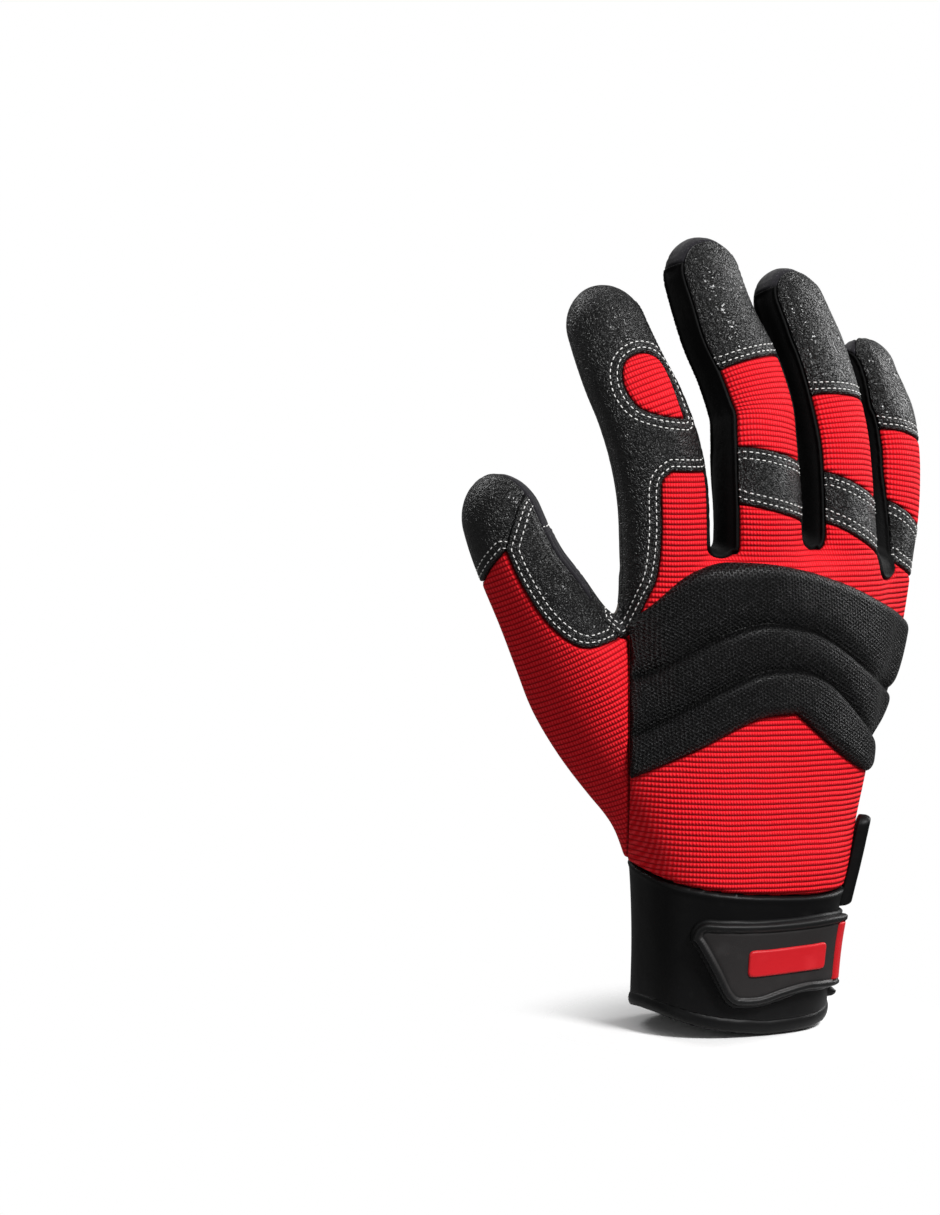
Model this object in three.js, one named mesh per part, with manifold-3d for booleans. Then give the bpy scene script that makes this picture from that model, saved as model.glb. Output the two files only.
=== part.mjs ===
// A right-hand mechanic's glove, shown filled as it is when worn: +Z runs from the wrist to the fingertips,
// +X towards the little finger, and the back of the hand looks along -Y, turned a little towards +X.
// The origin is the centre of the wrist opening. All sizes are in millimetres.
//
// The hand is six lofted limbs, one for the palm and wrist, four fingers and a thumb. Their union, less the same
// limbs drawn in by the wall, is the hollow hand. Cutters that follow each limb then part it along its seams.
import * as THREE from "three";
import { mergeVertices } from "three/addons/utils/BufferGeometryUtils.js";
import Module from "manifold-3d";

const wasm = await Module();
wasm.setup();

// Driving sizes
const PALM_TOP = 148; // from the hem to the top of the palm, between the fingers
const PALM_WIDTH = 102; // across the knuckles
const PALM_THICK = 34; // back to palm, at the middle of the hand
const WRIST_WIDTH = 70;
const WRIST_THICK = 50;
const INDEX_REACH = 123; // each reach runs from the finger's root, inside the palm, to its tip
const INDEX_WIDTH = 28;
const INDEX_THICK = 22.5;
const MIDDLE_REACH = 115;
const MIDDLE_WIDTH = 27;
const MIDDLE_THICK = 22.5;
const RING_REACH = 111;
const RING_WIDTH = 25.5;
const RING_THICK = 21.5;
const PINKY_REACH = 138;
const PINKY_WIDTH = 22;
const PINKY_THICK = 19.5;
const THUMB_REACH = 121;
const THUMB_WIDTH = 30;
const THUMB_THICK = 26;
const HAND_TURN = 27; // degrees that the back of the hand is turned from -Y towards +X
const CUFF_HEIGHT = 45.5; // hem to wrist seam, midway between back and palm
const SEAM_SLOPE = 0.17; // how far the wrist seam falls towards the back, for each millimetre
const SEAM_LEAN = 0.085; // how far it falls towards the little finger
const WALL = 1.8; // knit or suede with its lining
const CUFF_WALL = 3; // neoprene
const CUFF_PROUD = 0.8; // the cuff's outer face beyond the hand's
const HEM_HEIGHT = 5;
const GUARD_THICK = 3;
const GROOVE_WIDTH = 2.4;
const PAD_THICK = 2;
const PATCH_THICK = 1.1;
const STRAP_THICK = 1;
const TAB_THICK = 2;
const TAB_RIM = 0.8; // how far the rim stands above the tab's face
const SLIT_WIDTH = 3;
const BINDING_WIDTH = 6;
const BINDING_THICK = 3.2;
const GAP = 0.3; // between sewn pieces
const FINGER_SIDES = 10;
const FINGER_ROWS = 5;
const PALM_SIDES = 18;
const PALM_ROWS = 5;
const CUFF_SIDES = 24;
const CUFF_ROWS = 4;
const TURN_STEP = 10; // degrees between the sections of a band round the wrist
const CAP_STEPS = [35, 68]; // degrees of latitude of the rings that round a tip

// Where a fourchette starts and ends between back and palm, as shares of the finger's half thickness.
const BACK_SEAM = 0.58;
const PALM_SEAM = -0.45;

// The knuckles arch most on the little finger's side: the arch's crown lies this share of the half width towards
// the thumb.
const ARCH_OFFSET = 0.2;

// Reaches of the cutters. Those of bands are shares of a limb's half width and half thickness, as pairs for the
// thumb's side and the little finger's side.
const SIDES = [-1.04, 1.04]; // just past a finger's sides
const WIDE = [-1.3, 1.3]; // well past a limb's sides
const ABOVE = [2.4, 2.4];
const BELOW = [-2.4, -2.4];
const PAST_TIP = 20; // millimetres
const REACH_OF_CUTS = 120;

// Solids and meshes

function solidFrom(geometry) {
  const bare = new THREE.BufferGeometry();
  const flat = geometry.index ? geometry.toNonIndexed() : geometry;
  bare.setAttribute("position", flat.getAttribute("position"));
  const merged = mergeVertices(bare, 1e-4);
  const triVerts = [];
  const index = merged.index.array;
  for (let i = 0; i < index.length; i += 3) {
    const [a, b, c] = [index[i], index[i + 1], index[i + 2]];
    if (a !== b && b !== c && a !== c) triVerts.push(a, b, c);
  }
  const vertProperties = merged.getAttribute("position").array;
  const solid = new wasm.Manifold(
    new wasm.Mesh({ numProp: 3, vertProperties, triVerts: new Uint32Array(triVerts) }),
  );
  if (solid.volume() > 0) return solid;
  for (let i = 0; i < triVerts.length; i += 3) {
    [triVerts[i + 1], triVerts[i + 2]] = [triVerts[i + 2], triVerts[i + 1]];
  }
  return new wasm.Manifold(
    new wasm.Mesh({ numProp: 3, vertProperties, triVerts: new Uint32Array(triVerts) }),
  );
}

// A closed solid through rings that hold the same number of points.
function loft(rings) {
  const points = [];
  const triangle = (a, b, c) => points.push(...a.toArray(), ...b.toArray(), ...c.toArray());
  const middle = (ring) =>
    ring.reduce((sum, p) => sum.add(p), new THREE.Vector3()).divideScalar(ring.length);
  const cap = (ring, flip) => {
    const centre = middle(ring);
    ring.forEach((p, i) => {
      const next = ring[(i + 1) % ring.length];
      if (p.distanceTo(next) < 1e-6) return;
      if (flip) triangle(centre, next, p);
      else triangle(centre, p, next);
    });
  };
  cap(rings[0], true);
  for (let r = 0; r + 1 < rings.length; r += 1) {
    rings[r].forEach((p, i) => {
      const j = (i + 1) % rings[r].length;
      triangle(p, rings[r][j], rings[r + 1][j]);
      triangle(p, rings[r + 1][j], rings[r + 1][i]);
    });
  }
  cap(rings[rings.length - 1], false);
  const geometry = new THREE.BufferGeometry();
  geometry.setAttribute("position", new THREE.Float32BufferAttribute(points, 3));
  return solidFrom(geometry);
}

const unionOf = (solids) => solids.reduce((sum, solid) => sum.add(solid));

// Cutting can leave specks where two seams meet: the piece is the largest body.
function largest(solid) {
  const bodies = solid.decompose();
  return bodies.reduce((best, body) => (body.volume() > best.volume() ? body : best));
}

function meshOf(name, solid, material) {
  const { vertProperties, triVerts } = largest(solid).getMesh();
  const geometry = new THREE.BufferGeometry();
  geometry.setAttribute("position", new THREE.BufferAttribute(new Float32Array(vertProperties), 3));
  geometry.setIndex(new THREE.BufferAttribute(new Uint32Array(triVerts), 1));
  geometry.computeVertexNormals();
  const mesh = new THREE.Mesh(geometry, material);
  mesh.name = name;
  return mesh;
}

// The hand's own frame: across towards the little finger, out through the back of the hand, up to the fingertips.

const turn = THREE.MathUtils.degToRad(HAND_TURN);
const ACROSS = new THREE.Vector3(Math.cos(turn), Math.sin(turn), 0);
const BACK = new THREE.Vector3(Math.sin(turn), -Math.cos(turn), 0);
const UP = new THREE.Vector3(0, 0, 1);
const onHand = (across, back, up) =>
  new THREE.Vector3()
    .addScaledVector(ACROSS, across)
    .addScaledVector(BACK, back)
    .addScaledVector(UP, up);

// A limb is a centreline with a rounded-box section that changes along it.
class Limb {
  constructor({ centres, wide, thick, arch, roll, cap, level, power, samples = 60 }) {
    Object.assign(this, { cap, level, power });
    const curve = new THREE.CatmullRomCurve3(centres, false, "centripetal");
    const back = BACK.clone().applyAxisAngle(UP, THREE.MathUtils.degToRad(roll));
    const between = (values, t) => {
      const place = t * (values.length - 1);
      const i = Math.min(Math.floor(place), values.length - 2);
      return THREE.MathUtils.lerp(values[i], values[i + 1], place - i);
    };
    this.stations = [];
    let along = 0;
    for (let i = 0; i <= samples; i += 1) {
      const t = i / samples;
      const centre = curve.getPoint(t);
      if (i > 0) along += centre.distanceTo(this.stations[i - 1].centre);
      const tangent = level ? UP.clone() : curve.getTangent(t).normalize();
      const out = back.clone().addScaledVector(tangent, -back.dot(tangent)).normalize();
      this.stations.push({
        along,
        centre,
        tangent,
        out,
        side: tangent.clone().cross(out),
        halfWide: between(wide, t) / 2,
        halfThick: between(thick, t) / 2,
        arch: arch ? between(arch, t) : 0,
      });
    }
    this.length = along;
  }

  // The section a distance along the centreline, which runs straight on past both ends.
  at(along) {
    const last = this.stations[this.stations.length - 1];
    const first = this.stations[0];
    const end = along >= this.length ? last : first;
    if (along >= this.length || along <= 0) {
      const centre = end.centre.clone().addScaledVector(end.tangent, along - end.along);
      return { ...end, centre };
    }
    const i = this.stations.findIndex((s) => s.along > along);
    const [a, b] = [this.stations[i - 1], this.stations[i]];
    const t = (along - a.along) / (b.along - a.along);
    const mix = (key) => THREE.MathUtils.lerp(a[key], b[key], t);
    const mixVector = (key) => a[key].clone().lerp(b[key], t);
    return {
      centre: mixVector("centre"),
      tangent: mixVector("tangent").normalize(),
      out: mixVector("out").normalize(),
      side: mixVector("side").normalize(),
      halfWide: mix("halfWide"),
      halfThick: mix("halfThick"),
      arch: mix("arch"),
    };
  }

  // A point of a section: across and out in millimetres, let down by the arch of the knuckles.
  place(section, across, out) {
    const share = across / section.halfWide + ARCH_OFFSET;
    return section.centre
      .clone()
      .addScaledVector(section.side, across)
      .addScaledVector(section.out, out - section.arch * share * share);
  }

  ring(section, grow, scale, sides) {
    const ring = [];
    for (let i = 0; i < sides; i += 1) {
      const angle = (i / sides) * 2 * Math.PI;
      const bend = (value) => Math.sign(value) * Math.abs(value) ** (2 / this.power);
      const across = (section.halfWide + grow) * scale * bend(Math.sin(angle));
      const out = (section.halfThick + grow) * scale * bend(Math.cos(angle));
      ring.push(this.place(section, across, out));
    }
    return ring;
  }

  // A length of the limb with flat ends, grown or drawn in.
  rings({ grow, from, to, rows, sides }) {
    const rings = [];
    for (let i = 0; i <= rows; i += 1) {
      rings.push(this.ring(this.at(THREE.MathUtils.lerp(from, to, i / rows)), grow, 1, sides));
    }
    return rings;
  }

  // The limb as a solid, from a distance along it to its rounded tip.
  solid({ grow = 0, from = 0, rows = FINGER_ROWS, sides = FINGER_SIDES }) {
    const capStart = this.length - this.cap;
    const rings = this.rings({ grow, from, to: capStart, rows, sides });
    for (const degrees of CAP_STEPS) {
      const angle = THREE.MathUtils.degToRad(degrees);
      const section = this.at(capStart + (this.cap + grow) * Math.sin(angle));
      rings.push(this.ring(section, grow, Math.cos(angle), sides));
    }
    return loft(rings);
  }

  // A band that follows the limb: its sides are shares of the half width, its faces shares of the half thickness,
  // given at the thumb's side and at the little finger's side.
  // Its sections are those of the limb's own rings, so that the cut runs along the limb's facets.
  band({ from, to, sides, low, high, rows = FINGER_ROWS, columns = 1, grow = 0 }) {
    const rings = [];
    const capStart = this.length - this.cap;
    const inside = (along) => along > from + 1 && along < to - 1;
    const own = Array.from({ length: rows + 1 }, (_, i) => (capStart * i) / rows).filter(inside);
    for (const along of [from - grow, ...own, to + grow]) {
      const section = this.at(along);
      const edge = (values, lift) => {
        const line = [];
        for (let c = 0; c <= columns; c += 1) {
          const t = c / columns;
          const widen = THREE.MathUtils.lerp(-grow, grow, t);
          const across = THREE.MathUtils.lerp(sides[0], sides[1], t) * section.halfWide + widen;
          const out = THREE.MathUtils.lerp(values[0], values[1], t) * section.halfThick + lift;
          line.push(this.place(section, across, out));
        }
        return line;
      };
      rings.push([...edge(low, -grow), ...edge(high, grow).reverse()]);
    }
    return loft(rings);
  }
}

// Sections of the palm and wrist, from the hem up. Shares: up of PALM_TOP, across of PALM_WIDTH, wide and thick of
// the width and thickness that each section follows, arch of PALM_THICK.
const PALM_SECTIONS = [
  { up: 0, across: -0.004, wide: 0.86, thick: 0.95, arch: 0, of: "wrist" },
  { up: 0.17, across: 0.012, wide: 0.89, thick: 0.96, arch: 0, of: "wrist" },
  { up: 0.32, across: 0.036, wide: 0.99, thick: 0.98, arch: 0, of: "wrist" },
  { up: 0.42, across: 0.044, wide: 0.753, thick: 1.34, arch: 0.03, of: "palm" },
  { up: 0.54, across: 0.072, wide: 0.82, thick: 1.24, arch: 0.08, of: "palm" },
  { up: 0.68, across: 0.1, wide: 0.87, thick: 1.12, arch: 0.16, of: "palm" },
  { up: 0.81, across: 0.142, wide: 0.94, thick: 1, arch: 0.22, of: "palm" },
  { up: 0.93, across: 0.162, wide: 0.96, thick: 0.84, arch: 0.26, of: "palm" },
  { up: 1.0, across: 0.165, wide: 0.96, thick: 0.7, arch: 0.26, of: "palm" },
];

const palm = new Limb({
  centres: PALM_SECTIONS.map((s) => onHand(s.across * PALM_WIDTH, 0, s.up * PALM_TOP)),
  wide: PALM_SECTIONS.map((s) => s.wide * (s.of === "wrist" ? WRIST_WIDTH : PALM_WIDTH)),
  thick: PALM_SECTIONS.map((s) => s.thick * (s.of === "wrist" ? WRIST_THICK : PALM_THICK)),
  arch: PALM_SECTIONS.map((s) => s.arch * PALM_THICK),
  roll: 0,
  cap: 10,
  level: true,
  power: 2.5,
});

// Centrelines of the fingers. Root: where each starts, as shares of PALM_WIDTH, PALM_THICK and PALM_TOP. Rows, from
// root to tip: up, across and back as shares of the finger's reach, wide and thick of its own width and thickness.
const FINGERS = {
  index: {
    root: { across: -0.181, back: -0.09, up: 0.71 },
    reach: INDEX_REACH,
    width: INDEX_WIDTH,
    thickness: INDEX_THICK,
    roll: -2,
    rows: [
      { up: 0, across: 0, back: 0, wide: 0.96, thick: 1.1 },
      { up: 0.163, across: -0.02, back: 0, wide: 0.99, thick: 1.08 },
      { up: 0.313, across: -0.026, back: 0, wide: 1, thick: 1.04 },
      { up: 0.463, across: -0.034, back: 0, wide: 1, thick: 1 },
      { up: 0.589, across: -0.049, back: -0.016, wide: 1, thick: 1 },
      { up: 0.7, across: -0.076, back: -0.042, wide: 0.97, thick: 0.97 },
      { up: 0.797, across: -0.105, back: -0.084, wide: 0.92, thick: 0.94 },
      { up: 0.9, across: -0.125, back: -0.134, wide: 0.86, thick: 0.88 },
      { up: 1, across: -0.134, back: -0.185, wide: 0.8, thick: 0.82 },
    ],
  },
  middle: {
    root: { across: 0.088, back: 0, up: 0.865 },
    reach: MIDDLE_REACH,
    width: MIDDLE_WIDTH,
    thickness: MIDDLE_THICK,
    roll: 6,
    rows: [
      { up: 0, across: 0, back: 0, wide: 1.06, thick: 1.1 },
      { up: 0.24, across: 0.002, back: 0, wide: 1.04, thick: 1.02 },
      { up: 0.36, across: 0.006, back: -0.017, wide: 1.02, thick: 1 },
      { up: 0.46, across: 0.014, back: -0.043, wide: 1, thick: 1 },
      { up: 0.54, across: 0.02, back: -0.07, wide: 0.985, thick: 0.98 },
      { up: 0.65, across: 0.003, back: -0.113, wide: 0.97, thick: 0.96 },
      { up: 0.76, across: -0.027, back: -0.165, wide: 0.93, thick: 0.92 },
      { up: 0.87, across: -0.042, back: -0.217, wide: 0.89, thick: 0.86 },
      { up: 1, across: -0.062, back: -0.255, wide: 0.84, thick: 0.82 },
    ],
  },
  ring: {
    root: { across: 0.387, back: -0.12, up: 0.824 },
    reach: RING_REACH,
    width: RING_WIDTH,
    thickness: RING_THICK,
    roll: 15,
    rows: [
      { up: 0, across: 0, back: 0, wide: 1.08, thick: 1.1 },
      { up: 0.2, across: 0.006, back: 0, wide: 1.06, thick: 1.06 },
      { up: 0.31, across: 0.011, back: -0.01, wide: 1.02, thick: 1 },
      { up: 0.42, across: 0.014, back: -0.027, wide: 1, thick: 1 },
      { up: 0.53, across: 0.016, back: -0.054, wide: 1, thick: 1 },
      { up: 0.65, across: 0.007, back: -0.09, wide: 0.98, thick: 0.97 },
      { up: 0.76, across: -0.008, back: -0.13, wide: 0.95, thick: 0.94 },
      { up: 0.84, across: -0.026, back: -0.16, wide: 0.91, thick: 0.9 },
      { up: 0.93, across: -0.044, back: -0.2, wide: 0.87, thick: 0.86 },
      { up: 1, across: -0.048, back: -0.225, wide: 0.83, thick: 0.82 },
    ],
  },
  pinky: {
    root: { across: 0.392, back: -0.235, up: 0.486 },
    reach: PINKY_REACH,
    width: PINKY_WIDTH,
    thickness: PINKY_THICK,
    roll: 23,
    rows: [
      { up: 0, across: 0, back: 0, wide: 0.8, thick: 0.85 },
      { up: 0.145, across: 0.072, back: -0.022, wide: 0.84, thick: 0.9 },
      { up: 0.29, across: 0.127, back: -0.04, wide: 0.9, thick: 1 },
      { up: 0.42, across: 0.149, back: -0.043, wide: 1, thick: 1.06 },
      { up: 0.522, across: 0.164, back: -0.043, wide: 1.02, thick: 1.04 },
      { up: 0.609, across: 0.185, back: -0.05, wide: 1, thick: 1.02 },
      { up: 0.725, across: 0.203, back: -0.072, wide: 1, thick: 0.98 },
      { up: 0.812, across: 0.203, back: -0.094, wide: 0.98, thick: 0.96 },
      { up: 0.858, across: 0.193, back: -0.109, wide: 0.95, thick: 0.94 },
      { up: 0.899, across: 0.18, back: -0.12, wide: 0.92, thick: 0.92 },
      { up: 0.95, across: 0.172, back: -0.136, wide: 0.88, thick: 0.88 },
      { up: 1, across: 0.167, back: -0.152, wide: 0.84, thick: 0.84 },
    ],
  },
  thumb: {
    root: { across: -0.137, back: -0.118, up: 0.338 },
    reach: THUMB_REACH,
    width: THUMB_WIDTH,
    thickness: THUMB_THICK,
    roll: -65,
    rows: [
      { up: 0, across: 0, back: 0, wide: 0.93, thick: 0.9 },
      { up: 0.145, across: -0.066, back: -0.017, wide: 0.99, thick: 0.95 },
      { up: 0.246, across: -0.145, back: -0.033, wide: 1.04, thick: 1 },
      { up: 0.35, across: -0.213, back: -0.054, wide: 1.12, thick: 1 },
      { up: 0.452, across: -0.262, back: -0.074, wide: 1.2, thick: 1 },
      { up: 0.555, across: -0.303, back: -0.091, wide: 1.16, thick: 0.98 },
      { up: 0.657, across: -0.35, back: -0.112, wide: 1.03, thick: 0.96 },
      { up: 0.76, across: -0.405, back: -0.132, wide: 0.88, thick: 0.9 },
      { up: 0.863, across: -0.445, back: -0.149, wide: 0.82, thick: 0.86 },
      { up: 1, across: -0.486, back: -0.165, wide: 0.73, thick: 0.8 },
    ],
  },
};

const limbs = {};
for (const [name, finger] of Object.entries(FINGERS)) {
  const { root, reach, width, thickness, roll, rows } = finger;
  limbs[name] = new Limb({
    centres: rows.map((row) =>
      onHand(
        root.across * PALM_WIDTH + row.across * reach,
        root.back * PALM_THICK + row.back * reach,
        root.up * PALM_TOP + row.up * reach,
      ),
    ),
    wide: rows.map((row) => row.wide * width),
    thick: rows.map((row) => row.thick * thickness),
    roll,
    cap: width * 0.46,
    level: false,
    power: 2.25,
  });
}

// The whole hand, grown or drawn in. A limb's root moves with its sides, so a wall stays closed there.
const handAt = (grow) =>
  unionOf([
    palm.solid({ grow, from: -GAP, rows: PALM_ROWS, sides: PALM_SIDES }),
    ...Object.values(limbs).map((limb) => limb.solid({ grow, from: -grow })),
  ]);

// Cutters

// A prism on an outline given in millimetres as [along axis, up]. It runs from one distance to another along
// axis x up, which for ACROSS is out through the back of the hand.
function prism(points, axis, from, to) {
  const shape = new THREE.Shape(points.map(([x, y]) => new THREE.Vector2(x, y)));
  const geometry = new THREE.ExtrudeGeometry(shape, { depth: to - from, bevelEnabled: false });
  geometry.translate(0, 0, from);
  geometry.applyMatrix4(new THREE.Matrix4().makeBasis(axis, UP, axis.clone().cross(UP)));
  return solidFrom(geometry);
}

const FRONT = new THREE.Vector3(1, 0, 0);

// Outlines are stretches of smooth curve, whose points are shares: across of PALM_WIDTH, up of PALM_TOP. A corner
// is where one stretch meets the next.
const OUTLINE_STEP = 9;
const inMillimetres = ({ across, up }) => new THREE.Vector2(across * PALM_WIDTH, up * PALM_TOP);
function trace(...stretches) {
  const points = [];
  for (const stretch of stretches) {
    const curve = new THREE.SplineCurve(stretch.map(inMillimetres));
    const steps = stretch.length === 2 ? 1 : Math.ceil(curve.getLength() / OUTLINE_STEP);
    for (const point of curve.getSpacedPoints(steps)) {
      const last = points[points.length - 1];
      if (!last || Math.hypot(point.x - last[0], point.y - last[1]) > 0.5) points.push([point.x, point.y]);
    }
  }
  return points;
}

// An outline moved outwards, for the gap round a piece.
function grown(points, distance) {
  const sign = THREE.ShapeUtils.area(points.map(([x, y]) => new THREE.Vector2(x, y))) > 0 ? 1 : -1;
  return points.map((point, i) => {
    const before = points[(i + points.length - 1) % points.length];
    const after = points[(i + 1) % points.length];
    const along = new THREE.Vector2(after[0] - before[0], after[1] - before[1]).normalize();
    return [point[0] + sign * distance * along.y, point[1] - sign * distance * along.x];
  });
}

// A ribbon of a given width along an open line.
function ribbon(points, width) {
  const side = (distance) =>
    points.map((point, i) => {
      const before = points[Math.max(i - 1, 0)];
      const after = points[Math.min(i + 1, points.length - 1)];
      const along = new THREE.Vector2(after[0] - before[0], after[1] - before[1]).normalize();
      return [point[0] - distance * along.y, point[1] + distance * along.x];
    });
  return [...side(width / 2), ...side(-width / 2).reverse()];
}

const frontPrism = (outline, grow = 0) =>
  prism(grown(outline, grow), FRONT, -REACH_OF_CUTS / 3, REACH_OF_CUTS);
const palmPrism = (outline) => prism(outline, ACROSS, -REACH_OF_CUTS, 0);

// The back of each limb: low edges at the thumb's side and at the little finger's side, as shares of its half
// thickness. Only the gaps between fingers have a fourchette, so the index and the little finger wrap round outside.
const BACKS = [
  { limb: "index", low: [PALM_SEAM, BACK_SEAM] },
  { limb: "middle", low: [BACK_SEAM, BACK_SEAM] },
  { limb: "ring", low: [BACK_SEAM, BACK_SEAM] },
  { limb: "pinky", low: [BACK_SEAM, PALM_SEAM] },
  { limb: "thumb", low: [-0.1, -0.1] },
];
const HAND_SEAM = [-0.05, -0.05];
const palmBand = ({ from = -PAST_TIP, sides = WIDE, low, high, grow = 0 }) =>
  palm.band({ from, to: palm.length, sides, low, high, rows: PALM_ROWS, columns: 4, grow });
const fingerBand = (name, { sides = SIDES, low, high, grow = 0 }) =>
  limbs[name].band({ from: 0, to: limbs[name].length + PAST_TIP, sides, low, high, grow });
const backs = (grow) =>
  unionOf([
    palmBand({ low: HAND_SEAM, high: ABOVE, grow }),
    ...BACKS.map(({ limb, low }) => fingerBand(limb, { low, high: ABOVE, grow })),
  ]);

// A whole length of one finger, between two shares of its centreline.
const lengthOf = (name, from, to, grow = 0) =>
  limbs[name].band({
    from: from * limbs[name].length,
    to: to * limbs[name].length,
    sides: SIDES,
    low: BELOW,
    high: ABOVE,
    grow,
  });

// Fourchettes: the fingers each joins, and the foot of the gap between them as shares of PALM_WIDTH and PALM_TOP.
const FOURCHETTES = [
  { name: "fourchette_index", near: "index", far: "middle", across: -0.022, up: 1.0, nearFrom: 0.35, farFrom: 0.16 },
  { name: "fourchette_middle", near: "middle", far: "ring", across: 0.27, up: 0.98, nearFrom: 0.16, farFrom: 0.2 },
  { name: "fourchette_ring", near: "ring", far: "pinky", across: 0.5, up: 0.915, nearFrom: 0.14, farFrom: 0.46 },
];
const NOTCH_HALF = 2.4;
const NOTCH_LOW = 2; // its point below the gap's foot
const NOTCH_HIGH = 9;

function notch(row, grow = 0) {
  const foot = inMillimetres(row);
  const wedge = [
    [foot.x - NOTCH_HALF, foot.y + NOTCH_HIGH],
    [foot.x, foot.y - NOTCH_LOW],
    [foot.x + NOTCH_HALF, foot.y + NOTCH_HIGH],
  ];
  return prism(grown(wedge, grow), ACROSS, -PALM_THICK / 4, PALM_THICK);
}

// The side walls start this share of the half width from a finger's middle, end this share of the cap short of its
// tip, and reach this much above the back's seam, where the back is cut away from them.
const WALL_START = 0.2;
const WALL_SHORT = 0.6;
const WALL_OVER = 0.2;
function gapZone(row, grow = 0) {
  const side = (name, sides, start) =>
    limbs[name].band({
      from: start * limbs[name].length,
      to: limbs[name].length - limbs[name].cap * WALL_SHORT,
      sides,
      low: [PALM_SEAM, PALM_SEAM],
      high: [BACK_SEAM + WALL_OVER, BACK_SEAM + WALL_OVER],
      grow,
    });
  return unionOf([
    side(row.near, [WALL_START, SIDES[1]], row.nearFrom),
    side(row.far, [SIDES[0], -WALL_START], row.farFrom),
  ]);
}

// The wrist: everything below the wrist seam, and everything below a line along the hem.
function belowSeam(lift) {
  const corners = [
    [-PALM_WIDTH, -PALM_WIDTH],
    [PALM_WIDTH, -PALM_WIDTH],
    [PALM_WIDTH, PALM_WIDTH],
    [-PALM_WIDTH, PALM_WIDTH],
  ];
  const height = (across, back) => CUFF_HEIGHT - SEAM_SLOPE * back - SEAM_LEAN * across + lift;
  return loft([
    corners.map(([across, back]) => onHand(across, back, -CUFF_HEIGHT)),
    corners.map(([across, back]) => onHand(across, back, height(across, back))),
  ]);
}

// The hem dips at the back and the palm, and rises by HEM_RISE where the wrist's sides are, and by HEM_LEAN more at
// the thumb's. Its line is drawn to HEM_REACH of the wrist's width each way, a little past them.
const HEM_DIP = -2.2;
const HEM_RISE = 11;
const HEM_LEAN = 5;
const HEM_REACH = 0.6;
const HEM_STEPS = 3;
function belowHem(lift) {
  const end = WRIST_WIDTH * HEM_REACH;
  const line = [];
  for (let i = -HEM_STEPS; i <= HEM_STEPS; i += 1) {
    const share = i / HEM_STEPS;
    const lean = HEM_LEAN * Math.max(0, -share);
    line.push([share * end, HEM_DIP + HEM_RISE * share ** 4 + lean + lift]);
  }
  line.push([end, -CUFF_HEIGHT], [-end, -CUFF_HEIGHT]);
  return prism(line, ACROSS, -PALM_WIDTH, PALM_WIDTH);
}

// Outlines seen from the front

const GUARD = trace(
  [
    { across: -0.3165, up: 0.853 }, { across: -0.2, up: 0.918 }, { across: -0.07, up: 0.974 },
    { across: 0.1, up: 0.972 }, { across: 0.3, up: 0.93 }, { across: 0.45, up: 0.873 },
    { across: 0.6, up: 0.79 },
  ],
  [
    { across: 0.6, up: 0.79 }, { across: 0.54, up: 0.46 },
  ],
  [
    { across: 0.54, up: 0.46 }, { across: 0.36, up: 0.545 }, { across: 0.19, up: 0.655 },
  ],
  [
    { across: 0.19, up: 0.655 }, { across: 0.06, up: 0.645 }, { across: -0.12, up: 0.586 },
    { across: -0.3165, up: 0.527 },
  ],
  [
    { across: -0.3165, up: 0.527 }, { across: -0.3165, up: 0.853 },
  ],
);
const GROOVES = [
  trace(
    [
      { across: -0.36, up: 0.73 }, { across: -0.24, up: 0.753 }, { across: -0.1, up: 0.806 },
      { across: 0.03, up: 0.84 }, { across: 0.13, up: 0.845 }, { across: 0.26, up: 0.82 },
      { across: 0.4, up: 0.745 }, { across: 0.62, up: 0.58 },
    ],
  ),
  trace(
    [
      { across: -0.36, up: 0.612 }, { across: -0.24, up: 0.641 }, { across: -0.09, up: 0.698 },
      { across: 0.05, up: 0.741 }, { across: 0.15, up: 0.75 }, { across: 0.25, up: 0.735 },
      { across: 0.35, up: 0.675 }, { across: 0.56, up: 0.47 },
    ],
  ),
];
const INDEX_WINDOW = trace(
  [
    { across: -0.15, up: 1.275 }, { across: -0.195, up: 1.36 }, { across: -0.235, up: 1.403 },
    { across: -0.29, up: 1.412 }, { across: -0.335, up: 1.39 }, { across: -0.335, up: 1.345 },
    { across: -0.295, up: 1.304 }, { across: -0.23, up: 1.285 }, { across: -0.15, up: 1.275 },
  ],
);
const INDEX_LEATHER = trace(
  [
    { across: -0.02, up: 1.16 }, { across: -0.19, up: 1.168 },
  ],
  [
    { across: -0.19, up: 1.168 }, { across: -0.222, up: 1.14 }, { across: -0.222, up: 1.04 },
    { across: -0.236, up: 0.95 }, { across: -0.27, up: 0.897 }, { across: -0.322, up: 0.822 },
  ],
  [
    { across: -0.322, up: 0.822 }, { across: -0.347, up: 0.822 },
  ],
  [
    { across: -0.347, up: 0.822 }, { across: -0.4, up: 0.86 },
  ],
  [
    { across: -0.4, up: 0.86 }, { across: -0.45, up: 1.2 },
  ],
  [
    { across: -0.45, up: 1.2 }, { across: -0.6, up: 1.7 },
  ],
  [
    { across: -0.6, up: 1.7 }, { across: -0.02, up: 1.7 },
  ],
);
const THUMB_CAP = trace(
  [
    { across: -0.9, up: 0.9 }, { across: -0.765, up: 0.93 },
  ],
  [
    { across: -0.765, up: 0.93 }, { across: -0.735, up: 0.97 }, { across: -0.692, up: 1.008 },
  ],
  [
    { across: -0.692, up: 1.008 }, { across: -0.676, up: 1.05 }, { across: -0.649, up: 1.104 },
    { across: -0.62, up: 1.14 },
  ],
  [
    { across: -0.62, up: 1.14 }, { across: -0.62, up: 1.3 },
  ],
  [
    { across: -0.62, up: 1.3 }, { across: -1, up: 1.3 },
  ],
  [
    { across: -1, up: 1.3 }, { across: -0.9, up: 0.9 },
  ],
);
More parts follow.
